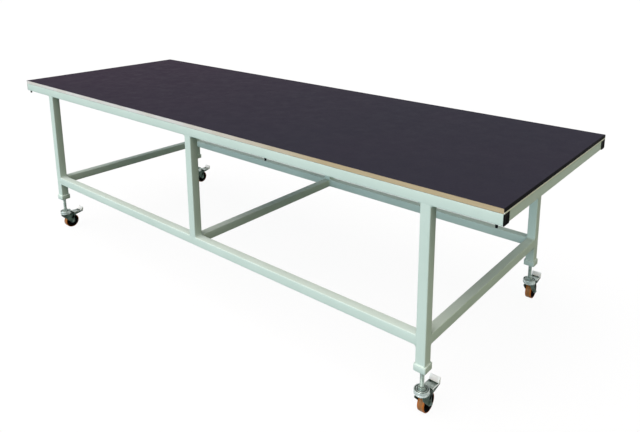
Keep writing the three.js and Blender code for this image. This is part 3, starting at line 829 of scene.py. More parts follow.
# Bearing caps
# The fixed upper races of the swivels: dished steel plates with a rolled rim and a groove for grease,
# pressed and zinc plated. Each is clamped under its stem's hexagon, above the ring of balls.
RACE_ZINC = (0.58, 0.66, 0.63, 1)
RACE_ZINC_DULL = (0.20, 0.27, 0.24, 1)
RACE_GLOSS = (140.0, 0.22, 0.4)
RACE_RIM = 0.021
RACE_RIM_WIDTH = 0.0037
RACE_RIM_FOOT = 0.005
RACE_RIM_DROP = 0.0002
RACE_GROOVE = 0.004
RACE_HUB = 0.014
RACE_HUB_TOP = 0.0145
RACE_HUB_END = 0.007
RACE_BORE = KING_PIN_RADIUS + FIT_GAP
RACE_HUB_ROUND = 0.0010
RACE_HUB_TOP_ROUND = 0.0007
RACE_RIM_FOOT_ROUND = 0.0006
RACE_RIM_OUTER_ROUND = 0.0020
RACE_RIM_INNER_ROUND = 0.0012
PRESSED_EDGE = 0.0006
PRESSED_FACETS = 56
ROUND_STEPS = 4


def soften(outline):
    """Pairs round a closed outline of radius, height and easing; each corner is rounded by its easing."""
    points = []
    for before, corner, after in zip(outline[-1:] + outline[:-1], outline, outline[1:] + outline[:1]):
        tip, easing = Vector(corner[:2]), corner[2]
        if easing == 0:
            points.append(corner[:2])
            continue
        ways = [(Vector(other[:2]) - tip).normalized() for other in (before, after)]
        half_angle = ways[0].angle(ways[1]) / 2
        centre = tip + (ways[0] + ways[1]).normalized() * easing / math.sin(half_angle)
        start, stop = (tip + way * easing / math.tan(half_angle) - centre for way in ways)
        for i in range(ROUND_STEPS + 1):
            points.append(tuple(centre + start.slerp(stop, i / ROUND_STEPS) * easing))
    return points + points[:1]


race_low, race_high = (level.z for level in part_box("front_left_bearing_cap"))
race_rim_top = race_high - RACE_RIM_DROP
race_rim_inside = RACE_RIM - RACE_RIM_WIDTH
race_profile = soften([
    (RACE_BORE, race_low, 0),
    (RACE_HUB, race_low, 0),
    (RACE_HUB, race_high - RACE_HUB_END, RACE_HUB_ROUND),
    (RACE_RIM, race_high - RACE_RIM_FOOT, RACE_RIM_FOOT_ROUND),
    (RACE_RIM, race_rim_top, RACE_RIM_OUTER_ROUND),
    (race_rim_inside, race_rim_top, RACE_RIM_INNER_ROUND),
    (race_rim_inside, race_high - RACE_GROOVE, 0),
    (RACE_HUB_TOP, race_high - RACE_GROOVE, 0),
    (RACE_HUB_TOP, race_high, RACE_HUB_TOP_ROUND),
    (RACE_BORE, race_high, 0),
])
race_mesh = mesh_from("bearing_race", spin(race_profile, PRESSED_FACETS))
race_zinc = zinc_plate("race_zinc", RACE_ZINC, RACE_ZINC_DULL, RACE_GLOSS, PRESSED_EDGE)
add_to_casters("bearing_race", race_mesh, stem_axis, race_zinc, "stud", "bearing_cap")

# Forks
# Steel sheet blanked, bent to a channel and zinc plated, its zinc colour darkened as painted shade: two
# cheeks that taper to the axle, and ears for the pedal.
# The zinc colours below are darkened far past plated steel, as painted shade.
SHEET_ZINC_PAINTED_SHADE = (0.105, 0.155, 0.130, 1)
SHEET_ZINC_DULL_PAINTED_SHADE = (0.026, 0.050, 0.040, 1)
SHEET_GLANCE = 0.35
SHEET_EASING = 0.0004
SHEET_BEND_STEPS = 7
FORK_GLOSS = (140.0, 0.26, 0.44)
FORK_INSIDE = 0.0165
FORK_OUTSIDE = 0.019
FORK_BEND = 0.007
FORK_BLANK = (-0.08, 0.10)
CROWN_LOW = 0.0825
CROWN_HIGH = 0.085
CHEEK_NOSE = -0.011
CHEEK_CORNER = 0.008
CHEEK_FOOT = 0.011
EAR_RADIUS = 0.007
BELT_STEPS = 10
TRIM_HALF = 0.03
EASED_DEGREES = 40
swivel_y = joint_place["front_left_swivel"][1]
AXLE = (joint_place["front_left_roll"][1] - swivel_y, joint_place["front_left_roll"][2])
PIVOT = (joint_place["front_left_brake"][1] - swivel_y, joint_place["front_left_brake"][2])


def belt(circles):
    """Points of a belt drawn tight round circles of place and radius, listed anticlockwise."""
    leaving = []
    for (a, b, r), (next_a, next_b, next_r) in zip(circles, circles[1:] + circles[:1]):
        run = math.hypot(next_a - a, next_b - b)
        leaving.append(math.atan2(next_b - b, next_a - a) - math.acos((r - next_r) / run))
    points = []
    for (a, b, r), start, stop in zip(circles, leaving[-1:] + leaving[:-1], leaving):
        turn = (stop - start) % (2 * math.pi)
        points += [on_circle(r, start + turn * i / BELT_STEPS, a, b) for i in range(BELT_STEPS + 1)]
    return points


def plate(points, low, high, across="X"):
    """An outline given a thickness: pairs in Y and Z across X, or pairs in X and Z across Y."""
    shape = bmesh.new()
    near, far = ([shape.verts.new((level, a, b) if across == "X" else (a, level, b)) for a, b in points]
                 for level in (low, high))
    shape.faces.new(near)
    shape.faces.new(far)
    skin(shape, near, far)
    return shape


def worked(mesh, kind, tool=None, **settings):
    """A mesh after one modifier, such as a bevel, or a cut by another mesh."""
    blank = bpy.data.objects.new("blank", mesh)
    bpy.context.scene.collection.objects.link(blank)
    work = blank.modifiers.new(kind, kind)
    for key, value in settings.items():
        setattr(work, key, value)
    if tool:
        work.object = bpy.data.objects.new("tool", tool)
        bpy.context.scene.collection.objects.link(work.object)
    result = bpy.data.meshes.new_from_object(blank.evaluated_get(bpy.context.evaluated_depsgraph_get()))
    if tool:
        bpy.data.objects.remove(work.object)
    bpy.data.objects.remove(blank)
    return result


def eased(mesh, width):
    """A bmesh of a mesh with its sharp edges rounded."""
    shape = bmesh.new()
    shape.from_mesh(worked(mesh, "BEVEL", width=width, segments=2, limit_method="ANGLE",
                           angle_limit=math.radians(EASED_DEGREES)))
    return merge_points(shape)


def bent_channel(inside, outside, crown_low, crown_high, foot, bend):
    """Pairs in X and Z round a sheet bent down at both sides."""
    inner_bend = bend - (outside - inside)
    turns = [math.pi / 2 * i / SHEET_BEND_STEPS for i in range(SHEET_BEND_STEPS + 1)]
    outer = [on_circle(bend, angle, outside - bend, crown_high - bend) for angle in turns]
    inner = [on_circle(inner_bend, angle, inside - inner_bend, crown_low - inner_bend) for angle in turns]
    right = [(outside, foot)] + outer
    left = [(-x, z) for x, z in reversed(right)]
    hollow = [(-inside, foot)] + [(-x, z) for x, z in inner] + list(reversed(inner)) + [(inside, foot)]
    return right + left + hollow


def trimmed_channel(section, blank, outline):
    """A bent sheet of a blank's length, trimmed to a side view."""
    channel = mesh_from("channel", plate(section, *blank, across="Y"))
    trim = mesh_from("trim", plate(outline, -TRIM_HALF, TRIM_HALF))
    return worked(channel, "BOOLEAN", trim, operation="INTERSECT", solver="EXACT")


cheek_level = CROWN_HIGH - CHEEK_CORNER
cheek_outline = belt([
    (CHEEK_NOSE, cheek_level, CHEEK_CORNER),
    (*AXLE, CHEEK_FOOT),
    (AXLE[0], cheek_level, CHEEK_CORNER),
])
fork_section = bent_channel(FORK_INSIDE, FORK_OUTSIDE, CROWN_LOW, CROWN_HIGH, 0, FORK_BEND)
fork_parts = [eased(trimmed_channel(fork_section, FORK_BLANK, cheek_outline), SHEET_EASING)]
ear_outline = belt([(AXLE[0], (AXLE[1] + PIVOT[1]) / 2, EAR_RADIUS), (*PIVOT, EAR_RADIUS)])
for low, high in ((-FORK_OUTSIDE, -FORK_INSIDE), (FORK_INSIDE, FORK_OUTSIDE)):
    fork_parts.append(eased(mesh_from("ear", plate(ear_outline, low, high)), SHEET_EASING))
fork_mesh = mesh_from("fork", join_shapes(fork_parts))
fork_zinc_painted_shade = zinc_plate("fork_zinc_painted_shade", SHEET_ZINC_PAINTED_SHADE, SHEET_ZINC_DULL_PAINTED_SHADE, FORK_GLOSS, PRESSED_EDGE, SHEET_GLANCE)
add_to_casters("pressed_fork", fork_mesh, stem_axis, fork_zinc_painted_shade, "swivel", "fork")

# Swivel cups
# Deep-drawn steel cups, bright zinc plated and riveted on the crowns of the forks, with a ring of balls
# between the cup and the bearing cap.
CUP_ZINC = (0.66, 0.73, 0.71, 1)
CUP_ZINC_DULL = (0.20, 0.27, 0.25, 1)
CUP_GLOSS = (140.0, 0.14, 0.32)
CUP_RADIUS = 0.0285
CUP_INSIDE = 0.0250
CUP_WAIST = 0.0273
CUP_SINK = 0.0012
CUP_FOOT = CROWN_HIGH - CUP_SINK
CUP_FLOOR = 0.0875
CUP_RIM = 0.108
CUP_SHOULDER = 0.0070
CUP_BAND_END = 0.0100
CUP_WAIST_START = 0.0114
CUP_WAIST_END = 0.0070
CUP_LIP = 0.0054
CUP_SHOULDER_ROUND = 0.0035
CUP_BAND_ROUND = 0.0012
CUP_WAIST_ROUND = 0.0010
CUP_RIM_ROUND = 0.0017
BALL_RADIUS = 0.0019
BALL_CIRCLE = 0.0231
BALL_HEIGHT = 0.1022
BALL_COUNT = 24
cup_profile = soften([
    (KING_PIN_RADIUS, CUP_FOOT, 0),
    (FORK_OUTSIDE, CUP_FOOT, 0),
    (CUP_RADIUS, CUP_FOOT + CUP_SHOULDER, CUP_SHOULDER_ROUND),
    (CUP_RADIUS, CUP_FOOT + CUP_BAND_END, CUP_BAND_ROUND),
    (CUP_WAIST, CUP_FOOT + CUP_WAIST_START, CUP_WAIST_ROUND),
    (CUP_WAIST, CUP_RIM - CUP_WAIST_END, CUP_WAIST_ROUND),
    (CUP_RADIUS, CUP_RIM - CUP_LIP, CUP_WAIST_ROUND),
    (CUP_RADIUS, CUP_RIM, CUP_RIM_ROUND),
    (CUP_INSIDE, CUP_RIM, CUP_RIM_ROUND),
    (CUP_INSIDE, CUP_FLOOR, 0),
    (KING_PIN_RADIUS, CUP_FLOOR, 0),
])
balls = bmesh.new()
for i in range(BALL_COUNT):
    spot = (*on_circle(BALL_CIRCLE, 2 * math.pi * i / BALL_COUNT), BALL_HEIGHT)
    bmesh.ops.create_icosphere(balls, subdivisions=2, radius=BALL_RADIUS, matrix=Matrix.Translation(spot))
cup_mesh = mesh_from("swivel_cup", join_shapes([spin(cup_profile, PRESSED_FACETS), balls]))
cup_zinc = zinc_plate("pressed_zinc", CUP_ZINC, CUP_ZINC_DULL, CUP_GLOSS, PRESSED_EDGE)
add_to_casters("swivel_cup", cup_mesh, stem_axis, cup_zinc, "swivel")

# Axle bolts
# Hexagon-headed steel bolts in dull zinc, put through both cheeks and the wheel. Each is closed by a nut,
# with a turn or two of thread standing out of it.
BOLT_ZINC = (0.22, 0.29, 0.255, 1)
BOLT_ZINC_DULL = (0.06, 0.09, 0.075, 1)
BOLT_RADIUS = 0.004
BOLT_FLATS = 0.013
BOLT_CHAMFER = 0.0006
BOLT_CHAMFER_INWARD = 0.0009
BOLT_OVERLAP = 0.001
BOLT_STANDING = 0.002
BOLT_TIP_CHAMFER = 0.0007
NUT_SEAT = FORK_OUTSIDE + FIT_GAP
NUT_HEIGHT = 0.006
NUT_END = NUT_SEAT + NUT_HEIGHT
BOLT_END = NUT_END + BOLT_STANDING
nut_tip = BOLT_FLATS / math.sqrt(3)
nut = [
    (0, NUT_SEAT),
    (nut_tip, NUT_SEAT),
    (nut_tip, NUT_END - BOLT_CHAMFER),
    (nut_tip - BOLT_CHAMFER_INWARD, NUT_END),
    (0, NUT_END),
]
head = [(radius, -height) for radius, height in reversed(nut)]
bolt = [
    (0, -NUT_SEAT - BOLT_OVERLAP),
    (BOLT_RADIUS, -NUT_SEAT - BOLT_OVERLAP),
    (BOLT_RADIUS, BOLT_END - BOLT_TIP_CHAMFER),
    (BOLT_RADIUS - BOLT_TIP_CHAMFER, BOLT_END),
    (0, BOLT_END),
]
bolt_mesh = mesh_from("axle_bolt", join_shapes([spin(head, 6), spin(nut, 6), spin(bolt, TURNED_FACETS)]))
bolt_zinc = zinc_plate("bolt_zinc", BOLT_ZINC, BOLT_ZINC_DULL, TURNED_GLOSS, TURNED_EDGE, SHEET_GLANCE)
axle_place = {corner: place @ Matrix.Translation((0, *AXLE)) @ ALONG_X for corner, place in stem_axis.items()}
add_to_casters("hexagon_bolt", bolt_mesh, axle_place, bolt_zinc, "swivel", "axle_bolt")

# Wheel cores
# Black nylon cores, moulded in one piece: a hub that turns on the bolt, a thin web stiffened by eight ribs
# on each side, and a rim that the tread is cast onto.
CORE_GLOSS = (35.0, 0.38, 0.55)
CORE_GRAIN = (800.0, 0.0001)
CORE_BORE = BOLT_RADIUS + FIT_GAP
CORE_HUB = 0.009
CORE_HUB_HALF = 0.01525
CORE_HUB_CHAMFER = 0.0008
CORE_HUB_ROOT = 0.001
CORE_WEB_EDGE = 0.0257
CORE_WEB_HALF = 0.004
CORE_DISH_WIDTH = 0.0012
CORE_DISH_RISE = 0.0014
CORE_RIM = 0.0337
CORE_RIM_HALF = 0.0137
CORE_RIM_INSIDE = 0.0293
CORE_RIM_CHAMFER = 0.001
RIB_COUNT = 8
RIB_HALF = 0.001
RIB_START = 0.008
RIB_STOP = 0.0287
RIB_FOOT = 0.0036
RIB_RISE_AT_HUB = 0.0125
RIB_RISE_AT_RIM = 0.0105
RIB_EASING = 0.0004
WHEEL_FACETS = 72


def mirrored(half):
    """A profile made whole from its upper half: the half turned down, then the half going back."""
    return [(radius, -height) for radius, height in half] + half[::-1]


core_half = [
    (CORE_BORE, CORE_HUB_HALF),
    (CORE_HUB - CORE_HUB_CHAMFER, CORE_HUB_HALF),
    (CORE_HUB, CORE_HUB_HALF - CORE_HUB_CHAMFER),
    (CORE_HUB + CORE_HUB_ROOT, CORE_WEB_HALF + CORE_HUB_ROOT),
    (CORE_HUB + 2 * CORE_HUB_ROOT, CORE_WEB_HALF),
    (CORE_WEB_EDGE, CORE_WEB_HALF),
    (CORE_WEB_EDGE + CORE_DISH_WIDTH, CORE_WEB_HALF + CORE_DISH_RISE),
    (CORE_RIM_INSIDE, CORE_RIM_HALF - CORE_RIM_CHAMFER),
    (CORE_RIM_INSIDE + CORE_RIM_CHAMFER, CORE_RIM_HALF),
    (CORE_RIM, CORE_RIM_HALF),
]
core_profile = mirrored(core_half)
core_parts = [spin(core_profile + core_profile[:1], WHEEL_FACETS)]
for i in range(RIB_COUNT):
    turn = Matrix.Rotation(2 * math.pi * i / RIB_COUNT, 4, "Z")
    for way in (-1, 1):
        rib = plate([
            (RIB_START, way * RIB_FOOT),
            (RIB_STOP, way * RIB_FOOT),
            (RIB_STOP, way * RIB_RISE_AT_RIM),
            (RIB_START, way * RIB_RISE_AT_HUB),
        ], -RIB_HALF, RIB_HALF)
        bmesh.ops.transform(rib, matrix=turn, verts=rib.verts)
        core_parts.append(eased(mesh_from("rib", rib), RIB_EASING))
core_mesh = mesh_from("wheel_core", join_shapes(core_parts))
core_plastic = black_plastic("core_plastic", CORE_GLOSS, CORE_GRAIN)
add_to_casters("ribbed_core", core_mesh, axle_place, core_plastic, "wheel", "wheel_core")

# Treads
# Orange-brown polyurethane, cast onto the core, with rounded shoulders and a parting line round the
# middle. The running band is scuffed, and the edges are cleaner.
TREAD = (0.40, 0.115, 0.014, 1)
TREAD_SCUFFED = (0.27, 0.135, 0.055, 1)
TREAD_SHEEN = 0.2
TREAD_SCUFFS = (90.0, 0.5, 1.0)
TREAD_GLOSS = (60.0, 0.38, 0.6)
TREAD_GRAIN = (500.0, 0.00012)
RUNNING_BAND = (0.36, 0.2)
TREAD_INSIDE = 0.0340
TREAD_SHOULDER = 0.0022
SHOULDER_STEPS = 5
PARTING_HALF = 0.0004
PARTING_DEPTH = 0.0002
tyre_low, tyre_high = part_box("front_left_tyre")
TREAD_RADIUS = (tyre_high.z - tyre_low.z) / 2
TREAD_HALF = (tyre_high.x - tyre_low.x) / 2


def cast_polyurethane():
    """Cast polyurethane, scuffed in patches over the running band."""
    material, tree, shader, place = start_material("cast_polyurethane")
    across = split(tree, place["Generated"])["X"]
    off_middle = calculate(tree, "ABSOLUTE", calculate(tree, "SUBTRACT", across, 0.5))
    running = remap(tree, off_middle, RUNNING_BAND)
    worn = calculate(tree, "MULTIPLY", patchy(tree, place, TREAD_SCUFFS), running)
    colour = blend_colours(tree, worn, TREAD, TREAD_SCUFFED)
    lay_finish(tree, shader, place, colour, TREAD_GLOSS, TREAD_GRAIN)
    shader["Specular IOR Level"].default_value = TREAD_SHEEN
    return material


tread_side = [(TREAD_INSIDE, TREAD_HALF)]
for i in range(SHOULDER_STEPS + 1):
    angle = math.pi / 2 * i / SHOULDER_STEPS
    tread_side.append((TREAD_RADIUS - TREAD_SHOULDER * (1 - math.sin(angle)),
                       TREAD_HALF - TREAD_SHOULDER * (1 - math.cos(angle))))
tread_side.append((TREAD_RADIUS, PARTING_HALF))
tread_profile = tread_side + [(TREAD_RADIUS - PARTING_DEPTH, 0)]
tread_profile += [(radius, -height) for radius, height in reversed(tread_side)]
tread_mesh = mesh_from("tread", spin(tread_profile + tread_profile[:1], WHEEL_FACETS))
add_to_casters("tread", tread_mesh, axle_place, cast_polyurethane(), "wheel", "tyre")

# Brake pedals
# Steel sheet pressed to a shallow channel, zinc plated in a colour darkened as painted shade, pinned over the
# fork's ears and rubbed bright by boots; the deck also carries a painted highlight where it faces up, painted
# shade towards the pad and painted highlights along its bends. A nose under the deck stops the wheel, and a
# black plug in the deck's hole stands in for the shade seen through it.
# The trodden colour and the masks below are partly boot wear, partly a painted highlight on the up-facing
# deck and bends, fading into painted shade near the pad.
DECK_TRODDEN_AND_HIGHLIT = (0.66, 0.76, 0.73, 1)
DECK_TRACKS = (110.0, 0.4, 1.0)
DECK_LIT_LEVELNESS = (0.8, 0.97)
DECK_PAD_SHADE_RUN = (0.42, 0.72)
DECK_PAD_SHADE_SHARES = (1.0, 0.1)
BEND_HIGHLIGHT_TURN = (0.2, 0.42)
BEND_HIGHLIGHT_SHARES = (0.0, 0.9)
PEDAL_GLOSS = (140.0, 0.24, 0.42)
PEDAL_INSIDE = 0.0196
PEDAL_OUTSIDE = 0.0218
PEDAL_DECK = 0.0097
PEDAL_STEEL = 0.0022
PEDAL_REACH = 0.046
PEDAL_EYE = 0.0075
PEDAL_CORNER = 0.003
PEDAL_BEND = 0.0036
PEDAL_BLANK = (-0.03, 0.08)
PEDAL_BLANK_FOOT = -0.03
PEDAL_TILT = math.radians(-4)
PUNCH_LENGTH = 0.02
DECK_HOLE = 0.0035
DECK_HOLE_PLACE = (-PEDAL_INSIDE / 2, 0.028)
# The plug below fills the deck hole with black, as painted shade.
DECK_SHADE_PLUG = 0.95 * DECK_HOLE
DECK_SHADE_PLUG_HEAD = 0.0012
PIN_RADIUS = 0.003
PIN_HEAD = 0.005
PIN_HEAD_HEIGHT = 0.0015
DOME = ((0, 1), (0.6, 0.9), (1, 0.2))
NOSE = [(0.0021, -0.0119, 0.0025), (0, 0.0057, 0.004)]
NOSE_HALF = 0.010


def trodden_and_highlit(tree, place, zinc):
    """Zinc rubbed by boots over the deck, lighter where the deck faces up as a painted highlight and fading
    into painted shade towards the pad, with painted highlights along its bends.
    """
    facing = split(tree, place["Normal"])
    along = split(tree, place["Generated"])["Y"]
    deck_wear_and_light = calculate(tree, "MULTIPLY", remap(tree, facing["Z"], DECK_LIT_LEVELNESS),
                     remap(tree, along, DECK_PAD_SHADE_RUN, DECK_PAD_SHADE_SHARES))
    deck_wear_and_light = calculate(tree, "MULTIPLY", deck_wear_and_light, patchy(tree, place, DECK_TRACKS))
    zinc = blend_colours(tree, deck_wear_and_light, zinc, DECK_TRODDEN_AND_HIGHLIT)
    # The bends are lightened as a painted highlight.
    bend = calculate(tree, "MULTIPLY", calculate(tree, "ABSOLUTE", facing["X"]), facing["Z"])
    return blend_colours(tree, remap(tree, bend, BEND_HIGHLIGHT_TURN, BEND_HIGHLIGHT_SHARES), zinc, ZINC_RUBBED_AND_HIGHLIT)


def domed(radius, height, seat):
    """The profile of a rivet's domed head above its seat, from its crown to its rim."""
    return [(across * radius, seat + up * height) for across, up in DOME]


pedal_outline = belt([
    (0, 0, PEDAL_EYE),
    (PEDAL_REACH - PEDAL_CORNER, PEDAL_DECK - PEDAL_CORNER, PEDAL_CORNER),
    (PEDAL_CORNER - PEDAL_EYE, PEDAL_DECK - PEDAL_CORNER, PEDAL_CORNER),
])
pedal_section = bent_channel(PEDAL_INSIDE, PEDAL_OUTSIDE, PEDAL_DECK - PEDAL_STEEL, PEDAL_DECK,
                             PEDAL_BLANK_FOOT, PEDAL_BEND)
pedal_sheet = trimmed_channel(pedal_section, PEDAL_BLANK, pedal_outline)
punch = spin([(0, 0), (DECK_HOLE, 0), (DECK_HOLE, PUNCH_LENGTH), (0, PUNCH_LENGTH)], TURNED_FACETS)
bmesh.ops.translate(punch, verts=punch.verts, vec=(*DECK_HOLE_PLACE, 0))
punch_mesh = mesh_from("punch", punch)
pedal_sheet = worked(pedal_sheet, "BOOLEAN", punch_mesh, operation="DIFFERENCE", solver="EXACT")
pin_half = domed(PIN_HEAD, PIN_HEAD_HEIGHT, PEDAL_OUTSIDE)
pin_half += [(PIN_HEAD, PEDAL_OUTSIDE), (PIN_RADIUS, PEDAL_OUTSIDE)]
pivot_pin = spin(mirrored(pin_half), TURNED_FACETS)
bmesh.ops.transform(pivot_pin, matrix=ALONG_X, verts=pivot_pin.verts)
nose = eased(mesh_from("nose", plate(belt(NOSE), -NOSE_HALF, NOSE_HALF)), SHEET_EASING)
pedal_mesh = mesh_from("pedal", join_shapes([eased(pedal_sheet, SHEET_EASING), pivot_pin, nose]))
pedal_zinc_painted_light = zinc_plate("pedal_zinc_painted_light", SHEET_ZINC_PAINTED_SHADE, SHEET_ZINC_DULL_PAINTED_SHADE, PEDAL_GLOSS, PRESSED_EDGE, SHEET_GLANCE,
                        wear_and_light=trodden_and_highlit)
# A black domed plug in the deck hole, standing in for the shade seen through it.
shade_plug_foot = -PEDAL_STEEL - DECK_SHADE_PLUG_HEAD
shade_plug_profile = domed(DECK_SHADE_PLUG, DECK_SHADE_PLUG_HEAD, 0) + [(DECK_SHADE_PLUG, shade_plug_foot), (0, shade_plug_foot)]
shade_plug_mesh = mesh_from("deck_shade_plug", spin(shade_plug_profile, TURNED_FACETS))
shade_plug_mesh.transform(Matrix.Translation((*DECK_HOLE_PLACE, PEDAL_DECK)))
tilt = Matrix.Rotation(PEDAL_TILT, 4, "X")
pedal_place = {corner: place @ Matrix.Translation((0, *PIVOT)) @ tilt for corner, place in stem_axis.items()}
add_to_casters("brake_pedal", pedal_mesh, pedal_place, pedal_zinc_painted_light, "brake", "pedal")
add_to_casters("hole_shade_plug", shade_plug_mesh, pedal_place, screw_black, "brake")

# Pedal pads
# Toe rests moulded in pale plastic, a wedge with fine ribs across its steep face. A lip at the back clips
# each over the end of its pedal.
PAD = (0.94, 0.97, 0.96, 1)
PAD_GRIMY = (0.89, 0.92, 0.91, 1)
PAD_GRIME = (70.0, 0.0, 0.7)
PAD_GLOSS = (60.0, 0.35, 0.55)
PAD_GRAIN = (900.0, 0.0001)
PAD_HALF = 0.021
PAD_LENGTH = 0.011
PAD_HEIGHT = 0.018
PAD_EDGE = 0.0014
PAD_CREST = 0.0025
PAD_EASING = 0.001
PAD_LIP = 0.006
PAD_LIP_HALF = 0.0207
PAD_FACE_WAY = Vector((-0.85, 0.5))
PAD_RIBS = 5
PAD_RIB_RADIUS = 0.0006
PAD_RIB_HALF = 0.018
PAD_RIB_FACETS = 10
PAD_RIB_EASING = 0.0002


def pale_plastic():
    """Pale plastic with faint grime."""
    material, tree, shader, place = start_material("pale_plastic")
    colour = blend_colours(tree, patchy(tree, place, PAD_GRIME), PAD, PAD_GRIMY)
    lay_finish(tree, shader, place, colour, PAD_GLOSS, PAD_GRAIN)
    return material


pad_foot = PEDAL_DECK + FIT_GAP
lip_middle = PEDAL_REACH + FIT_GAP + PAD_EDGE
toe = (PEDAL_REACH - PAD_LENGTH + PAD_EDGE, pad_foot + PAD_EDGE, PAD_EDGE)
heel = (lip_middle, pad_foot + PAD_EDGE, PAD_EDGE)
crest = (lip_middle + PAD_EDGE - PAD_CREST, pad_foot + PAD_HEIGHT - PAD_CREST, PAD_CREST)
lip = (lip_middle, pad_foot + PAD_EDGE - PAD_LIP, PAD_EDGE)
pad_parts = []
for circles, half in (([toe, heel, crest], PAD_HALF), ([lip, heel], PAD_LIP_HALF)):
    pad_parts.append(eased(mesh_from("pad", plate(belt(circles), -half, half)), PAD_EASING))
face_start = Vector(toe[:2]) + PAD_FACE_WAY * PAD_EDGE
face_finish = Vector(crest[:2]) + PAD_FACE_WAY * PAD_CREST
for i in range(PAD_RIBS):
    spot = face_start.lerp(face_finish, (i + 1) / (PAD_RIBS + 1))
    ridge = [on_circle(PAD_RIB_RADIUS, 2 * math.pi * k / PAD_RIB_FACETS, *spot)
             for k in range(PAD_RIB_FACETS)]
    pad_parts.append(eased(mesh_from("rib", plate(ridge, -PAD_RIB_HALF, PAD_RIB_HALF)), PAD_RIB_EASING))
pad_mesh = mesh_from("pedal_pad", join_shapes(pad_parts))
add_to_casters("toe_rest", pad_mesh, pedal_place, pale_plastic(), "brake", "pedal_pad")

# Floor
# A wide matt studio floor. To the camera and in reflections it is a thin white veil over the white room,
# so it keeps the shadow, and a wheel that is screwed down below it still shows.
FLOOR_HALF = 60.0
FLOOR_GREY = (0.075, 0.105, 0.085, 1)
FLOOR_WHITE = (0.95, 0.95, 0.95, 1)
FLOOR_ROUGHNESS = 0.9
FLOOR_CLEAR_SHARE = 0.94
WHITE = (1, 1, 1, 1)


def seen_or_mirrored(tree):
    """One where a ray comes from the camera, or was mirrored or passed through, and otherwise nought."""
    path = add_node(tree, "ShaderNodeLightPath").outputs
    mirrored = calculate(tree, "MAXIMUM", path["Is Glossy Ray"], path["Is Transmission Ray"])
    return calculate(tree, "MAXIMUM", path["Is Camera Ray"], mirrored)


floor_shape = bmesh.new()
bmesh.ops.create_grid(floor_shape, x_segments=1, y_segments=1, size=FLOOR_HALF)
floor_mesh = mesh_from("studio_floor", floor_shape)
floor = bpy.data.objects.new("studio_floor", floor_mesh)
bpy.context.scene.collection.objects.link(floor)
floor_material, floor_tree, floor_shader = start_material("studio_floor")[:3]
floor_shader["Roughness"].default_value = FLOOR_ROUGHNESS
floor_shader["Specular IOR Level"].default_value = 0.0
seen = seen_or_mirrored(floor_tree)
feed(floor_tree, floor_shader["Base Color"], blend_colours(floor_tree, seen, FLOOR_GREY, FLOOR_WHITE))
clear = add_node(floor_tree, "ShaderNodeBsdfTransparent", Color=WHITE)
clear_share = calculate(floor_tree, "MULTIPLY", seen, FLOOR_CLEAR_SHARE)
layers = add_node(floor_tree, "ShaderNodeMixShader", Fac=clear_share)
feed(floor_tree, layers.inputs[1], floor_tree.nodes["Principled BSDF"].outputs["BSDF"])
feed(floor_tree, layers.inputs[2], clear.outputs["BSDF"])
feed(floor_tree, floor_tree.nodes["Material Output"].inputs["Surface"], layers.outputs["Shader"])
floor_mesh.materials.append(floor_material)
floor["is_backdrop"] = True

# Light
# A room that is white to the camera and in reflections. It lends a light that is dim in front, cool behind,
# warm high at the right and pale above. Two broad lamps: a high one, and a weaker cool one low in front.
ROOM_FRONT = (0.28, 0.24, 0.20, 1)
ROOM_BACK = (0.42, 0.50, 0.50, 1)
ROOM_RIGHT = (1.62, 1.33, 0.68, 1)
ROOM_RIGHT_LOW = (0.07, 0.14, 0.09, 1)
ROOM_ABOVE = (1.03, 0.99, 1.16, 1)
RIGHT_WAY = (0.9, -0.44, 0.0)
ABOVE_WAY = (0.0, -0.5, 0.87)
FRONT_TO_BACK = (-0.7, 0.6)
LOW_TO_HIGH = (0.05, 0.6)
INTO_RIGHT = (0.2, 0.9)
INTO_ABOVE = (0.5, 0.95)
LAMPS = {
    "high_lamp": {"way": (-0.22, -0.40, 0.89), "power": 1.85, "degrees": 50, "colour": (1.10, 1.0, 0.90)},
    "low_lamp": {"way": (0.0, -0.98, 0.14), "power": 1.5, "degrees": 25, "colour": (0.79, 1.0, 1.12)},
}
world = bpy.data.worlds.new("white_room")
bpy.context.scene.world = world
world.use_nodes = True
room = world.node_tree
way = add_node(room, "ShaderNodeTexCoord").outputs["Generated"]
walls = blend_colours(room, remap(room, split(room, way)["Y"], FRONT_TO_BACK), ROOM_FRONT, ROOM_BACK)
right_wall = blend_colours(room, remap(room, split(room, way)["Z"], LOW_TO_HIGH), ROOM_RIGHT_LOW, ROOM_RIGHT)
rightward = remap(room, agreement(room, way, RIGHT_WAY), INTO_RIGHT)
walls = blend_colours(room, rightward, walls, right_wall)
upward = remap(room, agreement(room, way, ABOVE_WAY), INTO_ABOVE)
walls = blend_colours(room, upward, walls, ROOM_ABOVE)
walls = blend_colours(room, seen_or_mirrored(room), walls, WHITE)
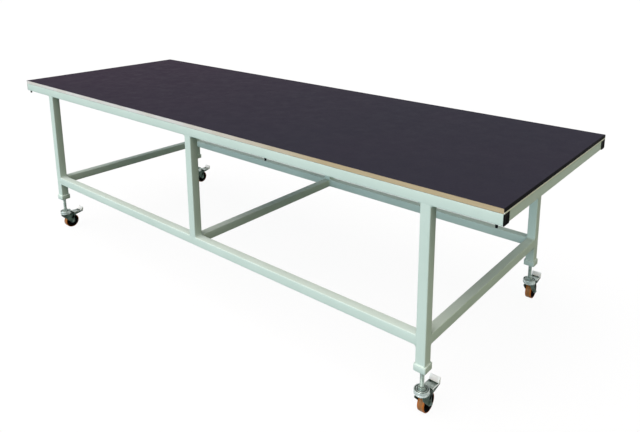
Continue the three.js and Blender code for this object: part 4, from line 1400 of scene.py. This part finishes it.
feed(room, room.nodes["Background"].inputs["Color"], walls)
for name, lamp in LAMPS.items():
    light = bpy.data.lights.new(name, "SUN")
    light.energy = lamp["power"]
    light.angle = math.radians(lamp["degrees"])
    light.color = lamp["colour"]
    stand = bpy.data.objects.new(name, light)
    bpy.context.scene.collection.objects.link(stand)
    stand.rotation_euler = Vector(lamp["way"]).to_track_quat("Z", "Y").to_euler()

# Camera
# At eye level off the front right corner, looking down the length of the table. The picture's centre of
# projection lies above its middle, which the lens's shift allows for.
FOCAL_PIXELS = 611.7
CENTRE_PIXELS = (351.9, 95.0)
PICTURE_PIXELS = (640, 432)
SENSOR_WIDTH = 36.0
CAMERA_PLACE = (2.1777, -2.1065, 1.5793)
CAMERA_YAW = math.radians(127.92)
CAMERA_PITCH = math.radians(12.68)
CAMERA_ROLL = math.radians(0.40)
forward = Vector((*on_circle(math.cos(CAMERA_PITCH), CAMERA_YAW), -math.sin(CAMERA_PITCH)))
level = Vector((math.sin(CAMERA_YAW), -math.cos(CAMERA_YAW), 0))
upright = level.cross(forward)
right = level * math.cos(CAMERA_ROLL) + upright * math.sin(CAMERA_ROLL)
up = upright * math.cos(CAMERA_ROLL) - level * math.sin(CAMERA_ROLL)
lens = bpy.data.cameras.new("camera")
lens.sensor_width = SENSOR_WIDTH
lens.lens = SENSOR_WIDTH * FOCAL_PIXELS / PICTURE_PIXELS[0]
lens.shift_x = (PICTURE_PIXELS[0] / 2 - CENTRE_PIXELS[0]) / PICTURE_PIXELS[0]
lens.shift_y = (CENTRE_PIXELS[1] - PICTURE_PIXELS[1] / 2) / PICTURE_PIXELS[0]
camera = bpy.data.objects.new("camera", lens)
bpy.context.scene.collection.objects.link(camera)
turned = Matrix((right, up, -forward)).transposed().to_4x4()
camera.matrix_world = Matrix.Translation(CAMERA_PLACE) @ turned
bpy.context.scene.camera = camera
bpy.context.scene.view_settings.view_transform = "Standard"

# Size
# The box of the dressed table, in metres; the box of the solids was found before the table was dressed.
low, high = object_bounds()
